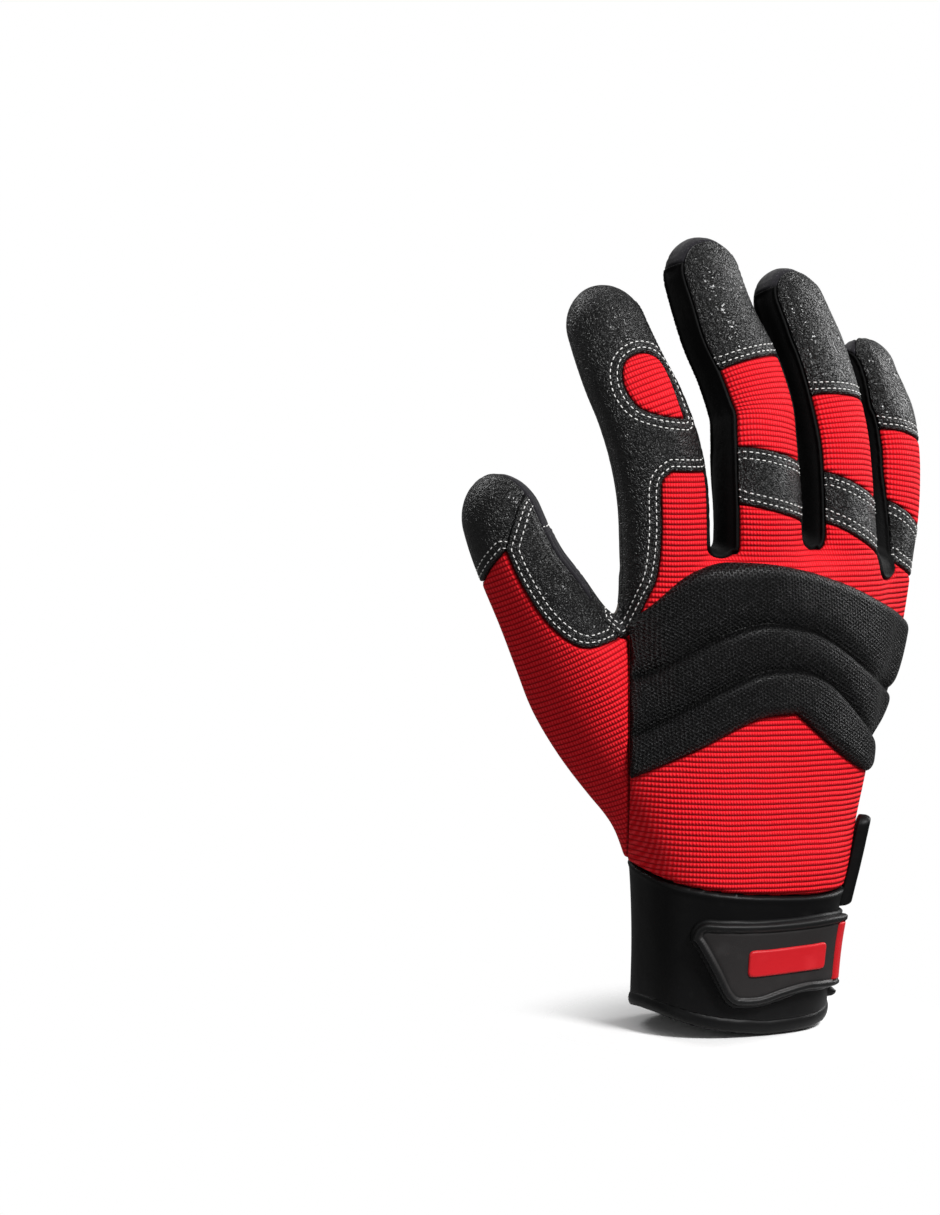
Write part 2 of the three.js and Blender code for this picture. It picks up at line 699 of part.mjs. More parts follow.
const THUMB_LEATHER = trace(
  [
    { across: -0.692, up: 1.008 }, { across: -0.65, up: 0.943 }, { across: -0.586, up: 0.872 },
    { across: -0.517, up: 0.825 }, { across: -0.447, up: 0.804 }, { across: -0.352, up: 0.818 },
  ],
  [
    { across: -0.352, up: 0.818 }, { across: -0.352, up: 0.86 },
  ],
  [
    { across: -0.352, up: 0.86 }, { across: -0.45, up: 1.3 },
  ],
  [
    { across: -0.45, up: 1.3 }, { across: -0.61, up: 1.3 },
  ],
  [
    { across: -0.61, up: 1.3 }, { across: -0.61, up: 1.14 },
  ],
  [
    { across: -0.61, up: 1.14 }, { across: -0.649, up: 1.104 }, { across: -0.676, up: 1.05 },
    { across: -0.692, up: 1.008 },
  ],
);
const THUMB_SIDE = trace(
  [
    { across: -1.2, up: -0.1 }, { across: -0.319, up: -0.1 },
  ],
  [
    { across: -0.319, up: -0.1 }, { across: -0.319, up: 0.817 },
  ],
  [
    { across: -0.319, up: 0.817 }, { across: -0.35, up: 0.822 },
  ],
  [
    { across: -0.35, up: 0.822 }, { across: -0.4, up: 0.86 },
  ],
  [
    { across: -0.4, up: 0.86 }, { across: -0.45, up: 1.2 },
  ],
  [
    { across: -0.45, up: 1.2 }, { across: -0.6, up: 1.4 },
  ],
  [
    { across: -0.6, up: 1.4 }, { across: -1.2, up: 1.4 },
  ],
);

// Outlines seen on the palm, in the hand's own frame

const PALM_PAD = trace(
  [
    { across: -0.112, up: 0.961 }, { across: -0.05, up: 0.975 }, { across: 0.03, up: 0.988 },
    { across: 0.05, up: 1.02 }, { across: 0.04, up: 1.09 }, { across: 0.045, up: 1.18 },
    { across: 0.09, up: 1.195 }, { across: 0.16, up: 1.175 }, { across: 0.203, up: 1.14 },
    { across: 0.205, up: 1.05 }, { across: 0.225, up: 0.99 }, { across: 0.266, up: 0.972 },
    { across: 0.305, up: 0.987 }, { across: 0.322, up: 1.07 }, { across: 0.355, up: 1.119 },
    { across: 0.42, up: 1.103 }, { across: 0.448, up: 1.055 }, { across: 0.455, up: 0.945 },
    { across: 0.493, up: 0.912 }, { across: 0.54, up: 0.912 }, { across: 0.567, up: 0.96 },
    { across: 0.595, up: 1.003 }, { across: 0.64, up: 1.01 }, { across: 0.675, up: 0.98 },
    { across: 0.675, up: 0.9 }, { across: 0.63, up: 0.795 }, { across: 0.59, up: 0.728 },
  ],
  [
    { across: 0.59, up: 0.728 }, { across: 0.565, up: 0.72 }, { across: 0.5, up: 0.751 },
    { across: 0.38, up: 0.802 }, { across: 0.27, up: 0.829 }, { across: 0.165, up: 0.855 },
    { across: 0.133, up: 0.848 }, { across: 0.17, up: 0.828 }, { across: 0.29, up: 0.779 },
    { across: 0.44, up: 0.735 }, { across: 0.53, up: 0.708 }, { across: 0.56, up: 0.68 },
  ],
  [
    { across: 0.56, up: 0.68 }, { across: 0.545, up: 0.605 }, { across: 0.5, up: 0.525 },
    { across: 0.434, up: 0.456 },
  ],
  [
    { across: 0.434, up: 0.456 }, { across: 0.36, up: 0.535 }, { across: 0.226, up: 0.641 },
    { across: 0.06, up: 0.727 }, { across: -0.09, up: 0.796 }, { across: -0.148, up: 0.84 },
    { across: -0.15, up: 0.9 }, { across: -0.112, up: 0.961 },
  ],
);
const HEEL_PAD = trace(
  [
    { across: -0.178, up: 0.745 }, { across: -0.11, up: 0.764 }, { across: 0, up: 0.698 },
    { across: 0.15, up: 0.586 }, { across: 0.27, up: 0.49 }, { across: 0.29, up: 0.44 },
    { across: 0.23, up: 0.414 }, { across: 0.08, up: 0.425 }, { across: -0.1, up: 0.447 },
    { across: -0.152, up: 0.49 }, { across: -0.152, up: 0.64 }, { across: -0.178, up: 0.745 },
  ],
);
const INDEX_PATCH = trace(
  [
    { across: -0.285, up: 1.291 }, { across: -0.275, up: 1.228 }, { across: -0.2, up: 1.194 },
    { across: -0.155, up: 1.12 }, { across: -0.113, up: 1.015 }, { across: -0.15, up: 0.98 },
    { across: -0.235, up: 0.905 }, { across: -0.3, up: 0.8 },
  ],
  [
    { across: -0.3, up: 0.8 }, { across: -0.33, up: 0.95 }, { across: -0.355, up: 1.25 },
  ],
);

// Lengths of the strap and tab, as turns round the wrist in degrees from the middle of the back towards the little
// finger, and heights as shares of CUFF_HEIGHT
const STRAP_ROWS = [
  { turn: -49, low: 0.62, high: 0.68 },
  { turn: -45, low: 0.575, high: 0.745 },
  { turn: -39, low: 0.48, high: 0.775 },
  { turn: -32, low: 0.35, high: 0.772 },
  { turn: -25, low: 0.22, high: 0.767 },
  { turn: -20, low: 0.165, high: 0.765 },
  { turn: -14, low: 0.15, high: 0.76 },
  { turn: -4, low: 0.152, high: 0.755 },
  { turn: 6, low: 0.19, high: 0.752 },
  { turn: 16, low: 0.22, high: 0.752 },
  { turn: 31, low: 0.213, high: 0.752 },
  { turn: 46, low: 0.205, high: 0.742 },
  { turn: 62, low: 0.2, high: 0.735 },
  { turn: 76, low: 0.2, high: 0.73 },
  { turn: 90, low: 0.2, high: 0.725 },
  { turn: 102, low: 0.21, high: 0.715 },
  { turn: 112, low: 0.24, high: 0.7 },
];
const TAB_ROWS = [
  { turn: -45.5, low: 0.635, high: 0.665 },
  { turn: -43, low: 0.615, high: 0.72 },
  { turn: -38, low: 0.53, high: 0.754 },
  { turn: -31, low: 0.395, high: 0.752 },
  { turn: -25, low: 0.265, high: 0.747 },
  { turn: -20, low: 0.2, high: 0.745 },
  { turn: -14, low: 0.178, high: 0.74 },
  { turn: -4, low: 0.178, high: 0.734 },
  { turn: 3, low: 0.215, high: 0.732 },
  { turn: 15.5, low: 0.242, high: 0.732 },
  { turn: 31, low: 0.233, high: 0.732 },
  { turn: 44, low: 0.226, high: 0.724 },
  { turn: 53, low: 0.224, high: 0.719 },
];
const TAB_FACE_ROWS = [
  { turn: -40, low: 0.625, high: 0.7 },
  { turn: -36, low: 0.55, high: 0.71 },
  { turn: -30, low: 0.435, high: 0.712 },
  { turn: -24, low: 0.31, high: 0.707 },
  { turn: -18, low: 0.235, high: 0.705 },
  { turn: -13, low: 0.218, high: 0.7 },
  { turn: -4, low: 0.218, high: 0.694 },
  { turn: 3, low: 0.255, high: 0.692 },
  { turn: 15.5, low: 0.282, high: 0.692 },
  { turn: 31, low: 0.273, high: 0.692 },
  { turn: 38, low: 0.27, high: 0.688 },
];
const BAR_ROWS = [
  { turn: 41.5, low: 0.275, high: 0.675 },
  { turn: 46, low: 0.272, high: 0.672 },
  { turn: 50.5, low: 0.27, high: 0.67 },
];
const PLATE_ROWS = [
  { turn: -12, low: 0.4, high: 0.53 },
  { turn: -10, low: 0.375, high: 0.555 },
  { turn: -2, low: 0.375, high: 0.555 },
  { turn: 8, low: 0.38, high: 0.56 },
  { turn: 18, low: 0.38, high: 0.56 },
  { turn: 26, low: 0.38, high: 0.56 },
  { turn: 28, low: 0.405, high: 0.535 },
];

// A band bent round the wrist, between two distances from the hand's surface.
function sleeve(rows, inner, outer) {
  const spot = (turnDegrees, height, grow) => {
    const section = palm.at(height);
    const angle = THREE.MathUtils.degToRad(turnDegrees);
    const bend = (value) => Math.sign(value) * Math.abs(value) ** (2 / palm.power);
    return palm.place(
      section,
      (section.halfWide + grow) * bend(Math.sin(angle)),
      (section.halfThick + grow) * bend(Math.cos(angle)),
    );
  };
  const sections = [];
  rows.forEach((row, i) => {
    const next = rows[i + 1] ?? row;
    const steps = Math.max(1, Math.ceil((next.turn - row.turn) / TURN_STEP));
    for (let k = 0; k < steps; k += 1) {
      const mix = (key) => THREE.MathUtils.lerp(row[key], next[key], k / steps);
      const [low, high] = [mix("low") * CUFF_HEIGHT, mix("high") * CUFF_HEIGHT];
      sections.push([
        spot(mix("turn"), low, inner),
        spot(mix("turn"), high, inner),
        spot(mix("turn"), high, outer),
        spot(mix("turn"), low, outer),
      ]);
    }
  });
  return loft(sections);
}

// Pieces

const skin = handAt(0).subtract(handAt(-WALL)).subtract(belowSeam(GAP / 2));

// The slit runs up the little finger's side, a little towards the back.
const slitBack = PALM_THICK * 0.16;
const slitTop = CUFF_HEIGHT * 1.22;
const slit = prism(
  [
    [slitBack - SLIT_WIDTH / 2, -CUFF_HEIGHT],
    [slitBack + SLIT_WIDTH / 2, -CUFF_HEIGHT],
    [slitBack + SLIT_WIDTH / 2, slitTop - 2 * SLIT_WIDTH],
    [slitBack, slitTop],
    [slitBack - SLIT_WIDTH / 2, slitTop - 2 * SLIT_WIDTH],
  ],
  BACK,
  -WRIST_WIDTH,
  0,
);

const hand = skin.subtract(slit);
const notches = unionOf(FOURCHETTES.map((row) => notch(row)));
const notchesGrown = unionOf(FOURCHETTES.map((row) => notch(row, GAP)));
const backsGrown = backs(GAP);
const backSide = hand.intersect(backs(0)).subtract(notchesGrown);
const gapZones = unionOf(FOURCHETTES.map((row) => gapZone(row, GAP)));
const palmSide = hand.subtract(backsGrown).subtract(notchesGrown).subtract(gapZones);

const colours = {
  knit: new THREE.MeshStandardMaterial({ color: 0xc3141c, roughness: 0.85 }),
  leather: new THREE.MeshStandardMaterial({ color: 0x1d1d1f, roughness: 0.5 }),
  mesh: new THREE.MeshStandardMaterial({ color: 0x141414, roughness: 0.9 }),
  suede: new THREE.MeshStandardMaterial({ color: 0xb9aea6, roughness: 0.95 }),
  grip: new THREE.MeshStandardMaterial({ color: 0x26242a, roughness: 0.9 }),
  side: new THREE.MeshStandardMaterial({ color: 0x161616, roughness: 0.85 }),
  cuff: new THREE.MeshStandardMaterial({ color: 0x19191b, roughness: 0.8 }),
  tab: new THREE.MeshStandardMaterial({ color: 0x2c2c2e, roughness: 0.6 }),
  mark: new THREE.MeshStandardMaterial({ color: 0xd03038, roughness: 0.6 }),
};

const glove = new THREE.Group();
const add = (name, solid, material) => glove.add(meshOf(name, solid, material));

// Back of the three outer fingers: a leather tip, a knit length and a leather strip over the lower joint. Each share
// is of the finger's centreline.
const FINGER_BACKS = [
  { finger: "middle", strip: 0.27, knit: 0.4, tip: 0.63 },
  { finger: "ring", strip: 0.25, knit: 0.39, tip: 0.607 },
  { finger: "pinky", strip: 0.49, knit: 0.612, tip: 0.77 },
];
const OWN_SKIN = 0.05; // keeps a finger's own skin whole when it is cut from its neighbours'
const TIP_END = 1.3; // past the rounded tip
const fingerBacksGrown = [];
for (const { finger, strip, knit, tip } of FINGER_BACKS) {
  const share = GAP / limbs[finger].length;
  const own = limbs[finger].solid({ grow: OWN_SKIN });
  const piece = (from, to) => backSide.intersect(own).intersect(lengthOf(finger, from, to));
  add(`${finger}_tip`, piece(tip, TIP_END), colours.leather);
  add(`${finger}_knit`, piece(knit, tip - share), colours.knit);
  add(`${finger}_strip`, piece(strip, knit - share), colours.leather);
  fingerBacksGrown.push(lengthOf(finger, strip, TIP_END, GAP));
}

// Back of the index finger: one leather wrap with a window, and the knit seen through the window.
const indexOwn = unionOf([
  fingerBand("index", { sides: [WIDE[0], SIDES[1]], low: BELOW, high: ABOVE }),
  palmBand({ from: PALM_TOP * 0.7, sides: [WIDE[0], -0.2], low: [-1, -1], high: ABOVE }),
]);
const indexLeather = frontPrism(INDEX_LEATHER).intersect(indexOwn);
const windowPrism = frontPrism(INDEX_WINDOW);
add("index_knit", backSide.intersect(windowPrism), colours.knit);
add(
  "index_leather",
  backSide.intersect(indexLeather).subtract(frontPrism(INDEX_WINDOW, GAP)),
  colours.leather,
);

// Back of the thumb
const thumbSide = backSide
  .intersect(frontPrism(THUMB_SIDE))
  .subtract(frontPrism(INDEX_LEATHER, GAP).intersect(indexOwn));
add("thumb_cap", thumbSide.intersect(frontPrism(THUMB_CAP)), colours.leather);
add(
  "thumb_leather",
  thumbSide.intersect(frontPrism(THUMB_LEATHER)).subtract(frontPrism(THUMB_CAP, GAP)),
  colours.leather,
);
add(
  "thumb_panel",
  thumbSide.subtract(frontPrism(THUMB_LEATHER, GAP)).subtract(frontPrism(THUMB_CAP, GAP)),
  colours.knit,
);

add(
  "back_panel",
  backSide
    .subtract(frontPrism(THUMB_SIDE, GAP))
    .subtract(frontPrism(INDEX_LEATHER, GAP).intersect(indexOwn))
    .subtract(frontPrism(INDEX_WINDOW, GAP))
    .subtract(unionOf(fingerBacksGrown)),
  colours.knit,
);

FOURCHETTES.forEach((row) => {
  const zone = gapZone(row).subtract(backsGrown).add(notch(row));
  add(row.name, hand.intersect(zone), colours.side);
});

// Palm: one suede panel, and a grippy tip on each finger. Shares are of each finger's centreline.
const PALM_TIPS = [
  { finger: "index", tip: 0.765 },
  { finger: "middle", tip: 0.61 },
  { finger: "ring", tip: 0.585 },
  { finger: "pinky", tip: 0.7 },
  { finger: "thumb", tip: 0.82 },
];
const palmTipsGrown = [];
for (const { finger, tip } of PALM_TIPS) {
  add(`${finger}_palm_tip`, palmSide.intersect(lengthOf(finger, tip, TIP_END)), colours.grip);
  palmTipsGrown.push(lengthOf(finger, tip, TIP_END, GAP));
}
add("palm_panel", palmSide.subtract(unionOf(palmTipsGrown)), colours.suede);

// Pads and patches laid on the hand
const base = handAt(GAP);
const overlay = (thick) => handAt(GAP + thick).subtract(base).subtract(belowSeam(GAP));
const PAD_EDGES = { palm: [-0.12, -0.12], finger: [-0.5, -0.5] };
const onPalm = unionOf([
  palmBand({ low: BELOW, high: PAD_EDGES.palm }),
  ...["index", "middle", "ring", "pinky"].map((name) =>
    fingerBand(name, { low: BELOW, high: PAD_EDGES.finger }),
  ),
]);
const padLayer = overlay(PAD_THICK).intersect(onPalm);
add("palm_pad", padLayer.intersect(palmPrism(PALM_PAD)), colours.grip);
add("heel_pad", padLayer.intersect(palmPrism(HEEL_PAD)), colours.grip);
add(
  "index_patch",
  overlay(PATCH_THICK).intersect(onPalm).intersect(palmPrism(INDEX_PATCH)),
  colours.grip,
);

// The thumb patch covers the crotch side of the thumb's palm face. Shares of the thumb's centreline, half width
// and half thickness.
const THUMB_PATCH = { from: 0.3, to: 0.76, side: 0.05, high: 0.6 };
add(
  "thumb_patch",
  overlay(PATCH_THICK)
    .subtract(backsGrown)
    .subtract(palmPrism(grown(INDEX_PATCH, GAP)))
    .intersect(limbs.thumb.solid({ grow: GAP + PATCH_THICK + OWN_SKIN }))
    .intersect(
      limbs.thumb.band({
        from: THUMB_PATCH.from * limbs.thumb.length,
        to: THUMB_PATCH.to * limbs.thumb.length,
        sides: [THUMB_PATCH.side, WIDE[1]],
        low: BELOW,
        high: [THUMB_PATCH.high, THUMB_PATCH.high],
      }),
    ),
  colours.grip,
);

const GUARD_EDGE = [0.05, 0.05];
let guard = overlay(GUARD_THICK)
  .intersect(palmBand({ low: GUARD_EDGE, high: ABOVE }))
  .intersect(frontPrism(GUARD));
const grooveFloor = handAt(GAP + GUARD_THICK / 2);
for (const groove of GROOVES) {
  const cut = prism(ribbon(groove, GROOVE_WIDTH), FRONT, -REACH_OF_CUTS / 3, REACH_OF_CUTS);
  guard = guard.subtract(cut.subtract(grooveFloor));
}
add("knuckle_guard", guard, colours.mesh);

// Wrist
const WRIST_BELOW = 12; // the uncut tube starts this far below the origin and ends at this share of the cuff
const WRIST_ABOVE = 1.4;
const wristLength = (grow) =>
  loft(palm.rings({ grow, from: -WRIST_BELOW, to: CUFF_HEIGHT * WRIST_ABOVE, rows: CUFF_ROWS, sides: CUFF_SIDES }));
const tube = (inner, outer) => wristLength(outer).subtract(wristLength(inner));
const cuffInner = CUFF_PROUD - CUFF_WALL;
const HEM_FOLD = 0.5; // how far the folded hem stands past the cuff's two faces
add(
  "cuff_band",
  tube(cuffInner, CUFF_PROUD)
    .intersect(belowSeam(-GAP / 2))
    .subtract(belowHem(HEM_HEIGHT + GAP))
    .subtract(slit),
  colours.cuff,
);
add(
  "cuff_hem",
  tube(cuffInner - HEM_FOLD, CUFF_PROUD + HEM_FOLD)
    .intersect(belowHem(HEM_HEIGHT))
    .subtract(belowHem(0))
    .subtract(slit),
  colours.cuff,
);

const strapInner = CUFF_PROUD + GAP;
const tabInner = strapInner + STRAP_THICK + GAP;
const tabFace = tabInner + TAB_THICK - TAB_RIM;
const BAR_DEPTH = 0.4; // of the bar's recess in the tab's face
const BAR_EDGE = { degrees: 0.6, share: 0.01 }; // the gap round the bar
const MARK_THICK = 0.7;
const CLEAR_CUT = 3; // how far a recess's cutter stands above the face
add("strap", sleeve(STRAP_ROWS, strapInner, strapInner + STRAP_THICK), colours.cuff);
add(
  "strap_tab",
  sleeve(TAB_ROWS, tabInner, tabInner + TAB_THICK)
    .subtract(sleeve(TAB_FACE_ROWS, tabFace, tabFace + CLEAR_CUT))
    .subtract(sleeve(BAR_ROWS, tabFace - BAR_DEPTH, tabFace + CLEAR_CUT)),
  colours.tab,
);
const shrink = (rows, degrees, share) =>
  rows.map(({ turn: angle, low, high }, i) => ({
    turn: angle + (i === 0 ? degrees : i === rows.length - 1 ? -degrees : 0),
    low: low + share,
    high: high - share,
  }));
const barRows = shrink(BAR_ROWS, BAR_EDGE.degrees, BAR_EDGE.share);
add("tab_bar", sleeve(barRows, tabFace - BAR_DEPTH + GAP, tabFace + MARK_THICK), colours.mark);
add("tab_plate", sleeve(PLATE_ROWS, tabFace + GAP, tabFace + GAP + MARK_THICK), colours.mark);

const bindingFoot = 0.775 * CUFF_HEIGHT;
const bindingTop = CUFF_HEIGHT * 1.37;
const bindingBack = slitBack + SLIT_WIDTH / 2 + GAP + BINDING_WIDTH; // on the slit's edge towards the back
const bindingOutline = [
  [bindingBack - BINDING_WIDTH, bindingFoot],
  [bindingBack, bindingFoot],
  [bindingBack, bindingTop - BINDING_WIDTH * 0.5],
  [bindingBack - BINDING_WIDTH * 0.15, bindingTop - BINDING_WIDTH * 0.15],
  [bindingBack - BINDING_WIDTH * 0.5, bindingTop],
  [bindingBack - BINDING_WIDTH * 0.85, bindingTop - BINDING_WIDTH * 0.15],
  [bindingBack - BINDING_WIDTH, bindingTop - BINDING_WIDTH * 0.5],
];
add(
  "slit_binding",
  tube(strapInner, strapInner + BINDING_THICK).intersect(prism(bindingOutline, BACK, -WRIST_WIDTH, 0)),
  colours.cuff,
);

export default glove;
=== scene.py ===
# %% [markdown]
# # A mechanic's glove, cut from one smooth skin
# A real glove is cut flat and sewn until it fits a hand. Here it goes the other way round: a smooth hand is
# made first, and every panel is then cut out of its skin along the seams. Neighbours share their seam line
# exactly, so nothing gapes, and each panel is lifted off the skin by the thickness of its own cloth or
# leather.

import math

import bpy
import numpy as np
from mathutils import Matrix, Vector, kdtree


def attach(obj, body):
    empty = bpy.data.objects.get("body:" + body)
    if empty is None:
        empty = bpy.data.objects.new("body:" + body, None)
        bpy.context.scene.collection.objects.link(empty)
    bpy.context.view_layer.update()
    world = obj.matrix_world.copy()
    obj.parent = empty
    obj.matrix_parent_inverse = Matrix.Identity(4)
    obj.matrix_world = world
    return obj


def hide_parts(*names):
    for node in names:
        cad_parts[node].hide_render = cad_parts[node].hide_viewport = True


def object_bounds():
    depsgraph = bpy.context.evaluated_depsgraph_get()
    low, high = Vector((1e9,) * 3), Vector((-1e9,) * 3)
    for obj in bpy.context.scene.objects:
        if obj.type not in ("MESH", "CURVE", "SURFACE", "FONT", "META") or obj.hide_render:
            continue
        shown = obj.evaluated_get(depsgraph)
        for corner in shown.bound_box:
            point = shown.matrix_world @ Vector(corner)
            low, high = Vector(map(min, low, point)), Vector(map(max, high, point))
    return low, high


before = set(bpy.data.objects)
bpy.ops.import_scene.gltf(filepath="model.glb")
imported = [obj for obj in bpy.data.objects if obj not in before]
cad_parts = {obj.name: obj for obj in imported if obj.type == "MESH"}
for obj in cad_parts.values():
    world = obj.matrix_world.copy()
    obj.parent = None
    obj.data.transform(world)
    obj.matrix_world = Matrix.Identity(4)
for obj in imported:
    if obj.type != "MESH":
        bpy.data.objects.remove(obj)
cad_low, cad_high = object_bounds()
MM = 0.001
print("The CAD box spans", [round(x / MM, 1) for x in cad_high - cad_low], "mm")

# %% [markdown]
# ## The sizes of the hand
# All lengths are millimetres until a mesh is made. They are the same driving sizes that the solids have, so
# the skin lies on them. The hand's own frame runs across towards the little finger, back out of the
# knuckles, and up.

# %% Driving sizes
PALM_TOP = 148
PALM_WIDTH = 102
PALM_THICK = 34
WRIST_WIDTH = 70
WRIST_THICK = 50
HAND_TURN = math.radians(27)
CUFF_HEIGHT = 45.5
SEAM_SLOPE = 0.17
SEAM_LEAN = 0.085
BACK_SEAM = 0.58
PALM_SEAM = -0.45
ARCH_OFFSET = 0.2

ACROSS = np.array([math.cos(HAND_TURN), math.sin(HAND_TURN), 0])
BACK = np.array([math.sin(HAND_TURN), -math.cos(HAND_TURN), 0])
UP = np.array([0, 0, 1.0])
print("The hand is", PALM_WIDTH, "mm wide, and its palm", PALM_TOP, "mm high")


# %% Helpers for points
def on_hand(across, back, up):
    return np.outer(across, ACROSS) + np.outer(back, BACK) + np.outer(up, UP)


def unit(vectors):
    return vectors / np.linalg.norm(vectors, axis=-1, keepdims=True)


def spline(rows, t):
    """A smooth line through the rows of a table; t counts rows from 0."""
    p = np.asarray(rows, float)
    p = np.concatenate([2 * p[:1] - p[1:2], p, 2 * p[-1:] - p[-2:-1]])
    i = np.clip(t.astype(int), 0, len(p) - 4)
    u = (t - i)[:, None]
    a, b, c, d = (p[i + k] for k in range(4))
    bend = 2 * a - 5 * b + 4 * c - d
    return b + 0.5 * ((c - a) * u + bend * u**2 + (3 * b - a - 3 * c + d) * u**3)


# %% [markdown]
# ## Limbs
# The palm, the four fingers and the thumb are six limbs. Each is a rounded box swept along a bent
# centreline. For any point in space a limb tells how far along it the point lies, and where it is in the
# section there: u across and v outwards, both 1 on the skin. That one question gives the shape, and later
# the seams as well.

# %% A limb
STATIONS = 61


class Limb:
    def __init__(self, table, roll, cap, power, level=False):
        t = np.linspace(0, len(table) - 1, STATIONS)
        across, back, up, self.half_wide, self.half_thick, self.arch = spline(table, t).T
        self.centre = on_hand(across, back, up)
        steps = np.linalg.norm(np.diff(self.centre, axis=0), axis=1)
        self.along = np.concatenate([[0], np.cumsum(steps)])
        self.length = self.along[-1]
        self.cap, self.power, self.level = cap, power, level
        self.tangent = unit(np.gradient(self.centre, self.along, axis=0))
        if level:
            self.tangent[:] = UP
        turn = math.radians(roll)
        spread = unit(np.cross(UP, BACK))
        facing = BACK * math.cos(turn) + spread * math.sin(turn)
        self.out = unit(facing - (self.tangent @ facing)[:, None] * self.tangent)
        self.side = np.cross(self.tangent, self.out)

    def mix(self, values, along):
        if values.ndim == 1:
            return np.interp(along, self.along, values)
        return np.stack([np.interp(along, self.along, column) for column in values.T], axis=1)

    def local(self, points):
        """Along in millimetres, u and v in shares of the half width and thickness, and those two halves."""
        if self.level:
            along = np.interp(points[:, 2], self.centre[:, 2], self.along)
            beyond = points[:, 2] - np.clip(points[:, 2], self.centre[0, 2], self.centre[-1, 2])
            along = along + beyond
        else:
            nearest = np.zeros(len(points), int)
            best = np.full(len(points), np.inf)
            for i in range(0, STATIONS, 2):
                distance = ((points - self.centre[i]) ** 2).sum(1)
                closer = distance < best
                nearest[closer] = i
                best[closer] = distance[closer]
            offset = points - self.centre[nearest]
            along = self.along[nearest] + (offset * self.tangent[nearest]).sum(1)
            offset = points - self.mix(self.centre, along)
            inner = np.clip(along, 0, self.length)
            along = inner + (offset * unit(self.mix(self.tangent, along))).sum(1)
        offset = points - self.mix(self.centre, along)
        half_wide, half_thick = self.mix(self.half_wide, along), self.mix(self.half_thick, along)
        u = (offset * unit(self.mix(self.side, along))).sum(1) / half_wide
        lift = self.mix(self.arch, along) * (u + ARCH_OFFSET) ** 2
        v = ((offset * unit(self.mix(self.out, along))).sum(1) + lift) / half_thick
        return along, u, v, half_wide, half_thick

    def distance(self, local):
        """Roughly how far a point is outside the skin."""
        along, u, v, half_wide, half_thick = local
        norm = (np.abs(u) ** self.power + np.abs(v) ** self.power) ** (1 / self.power)
        past = np.maximum(along - self.length + self.cap, 0) / self.cap
        before = np.maximum(-along, 0) / self.cap
        whole = np.sqrt(norm**2 + past**2 + before**2)
        reach = np.sqrt((u * half_wide) ** 2 + (v * half_thick) ** 2 + ((past + before) * self.cap) ** 2)
        return reach * (1 - 1 / np.maximum(whole, 0.05))


# %% [markdown]
# ## The tables
# A row is one section. Shares are of the sizes named beside them, as a maker's grading table would give
# them.

# %% The palm
WRIST = (WRIST_WIDTH, WRIST_THICK)
HAND = (PALM_WIDTH, PALM_THICK)
PALM_ROWS = [  # up, across, wide, thick, arch, and what wide and thick are shares of
    (0, -0.004, 0.86, 0.95, 0, WRIST),
    (0.17, 0.012, 0.89, 0.96, 0, WRIST),
    (0.32, 0.036, 0.99, 0.98, 0, WRIST),
    (0.42, 0.044, 0.753, 1.34, 0.03, HAND),
    (0.54, 0.072, 0.82, 1.24, 0.08, HAND),
    (0.68, 0.1, 0.87, 1.12, 0.16, HAND),
    (0.81, 0.142, 0.94, 1, 0.22, HAND),
    (0.93, 0.162, 0.96, 0.84, 0.26, HAND),
    (1, 0.165, 0.96, 0.7, 0.26, HAND),
]
palm = Limb(
    [
        (across * PALM_WIDTH, 0, up * PALM_TOP, wide * of[0] / 2, thick * of[1] / 2, arch * PALM_THICK)
        for up, across, wide, thick, arch, of in PALM_ROWS
    ],
    roll=0, cap=10, power=2.5, level=True,
)
print("The palm has", len(PALM_ROWS), "sections")

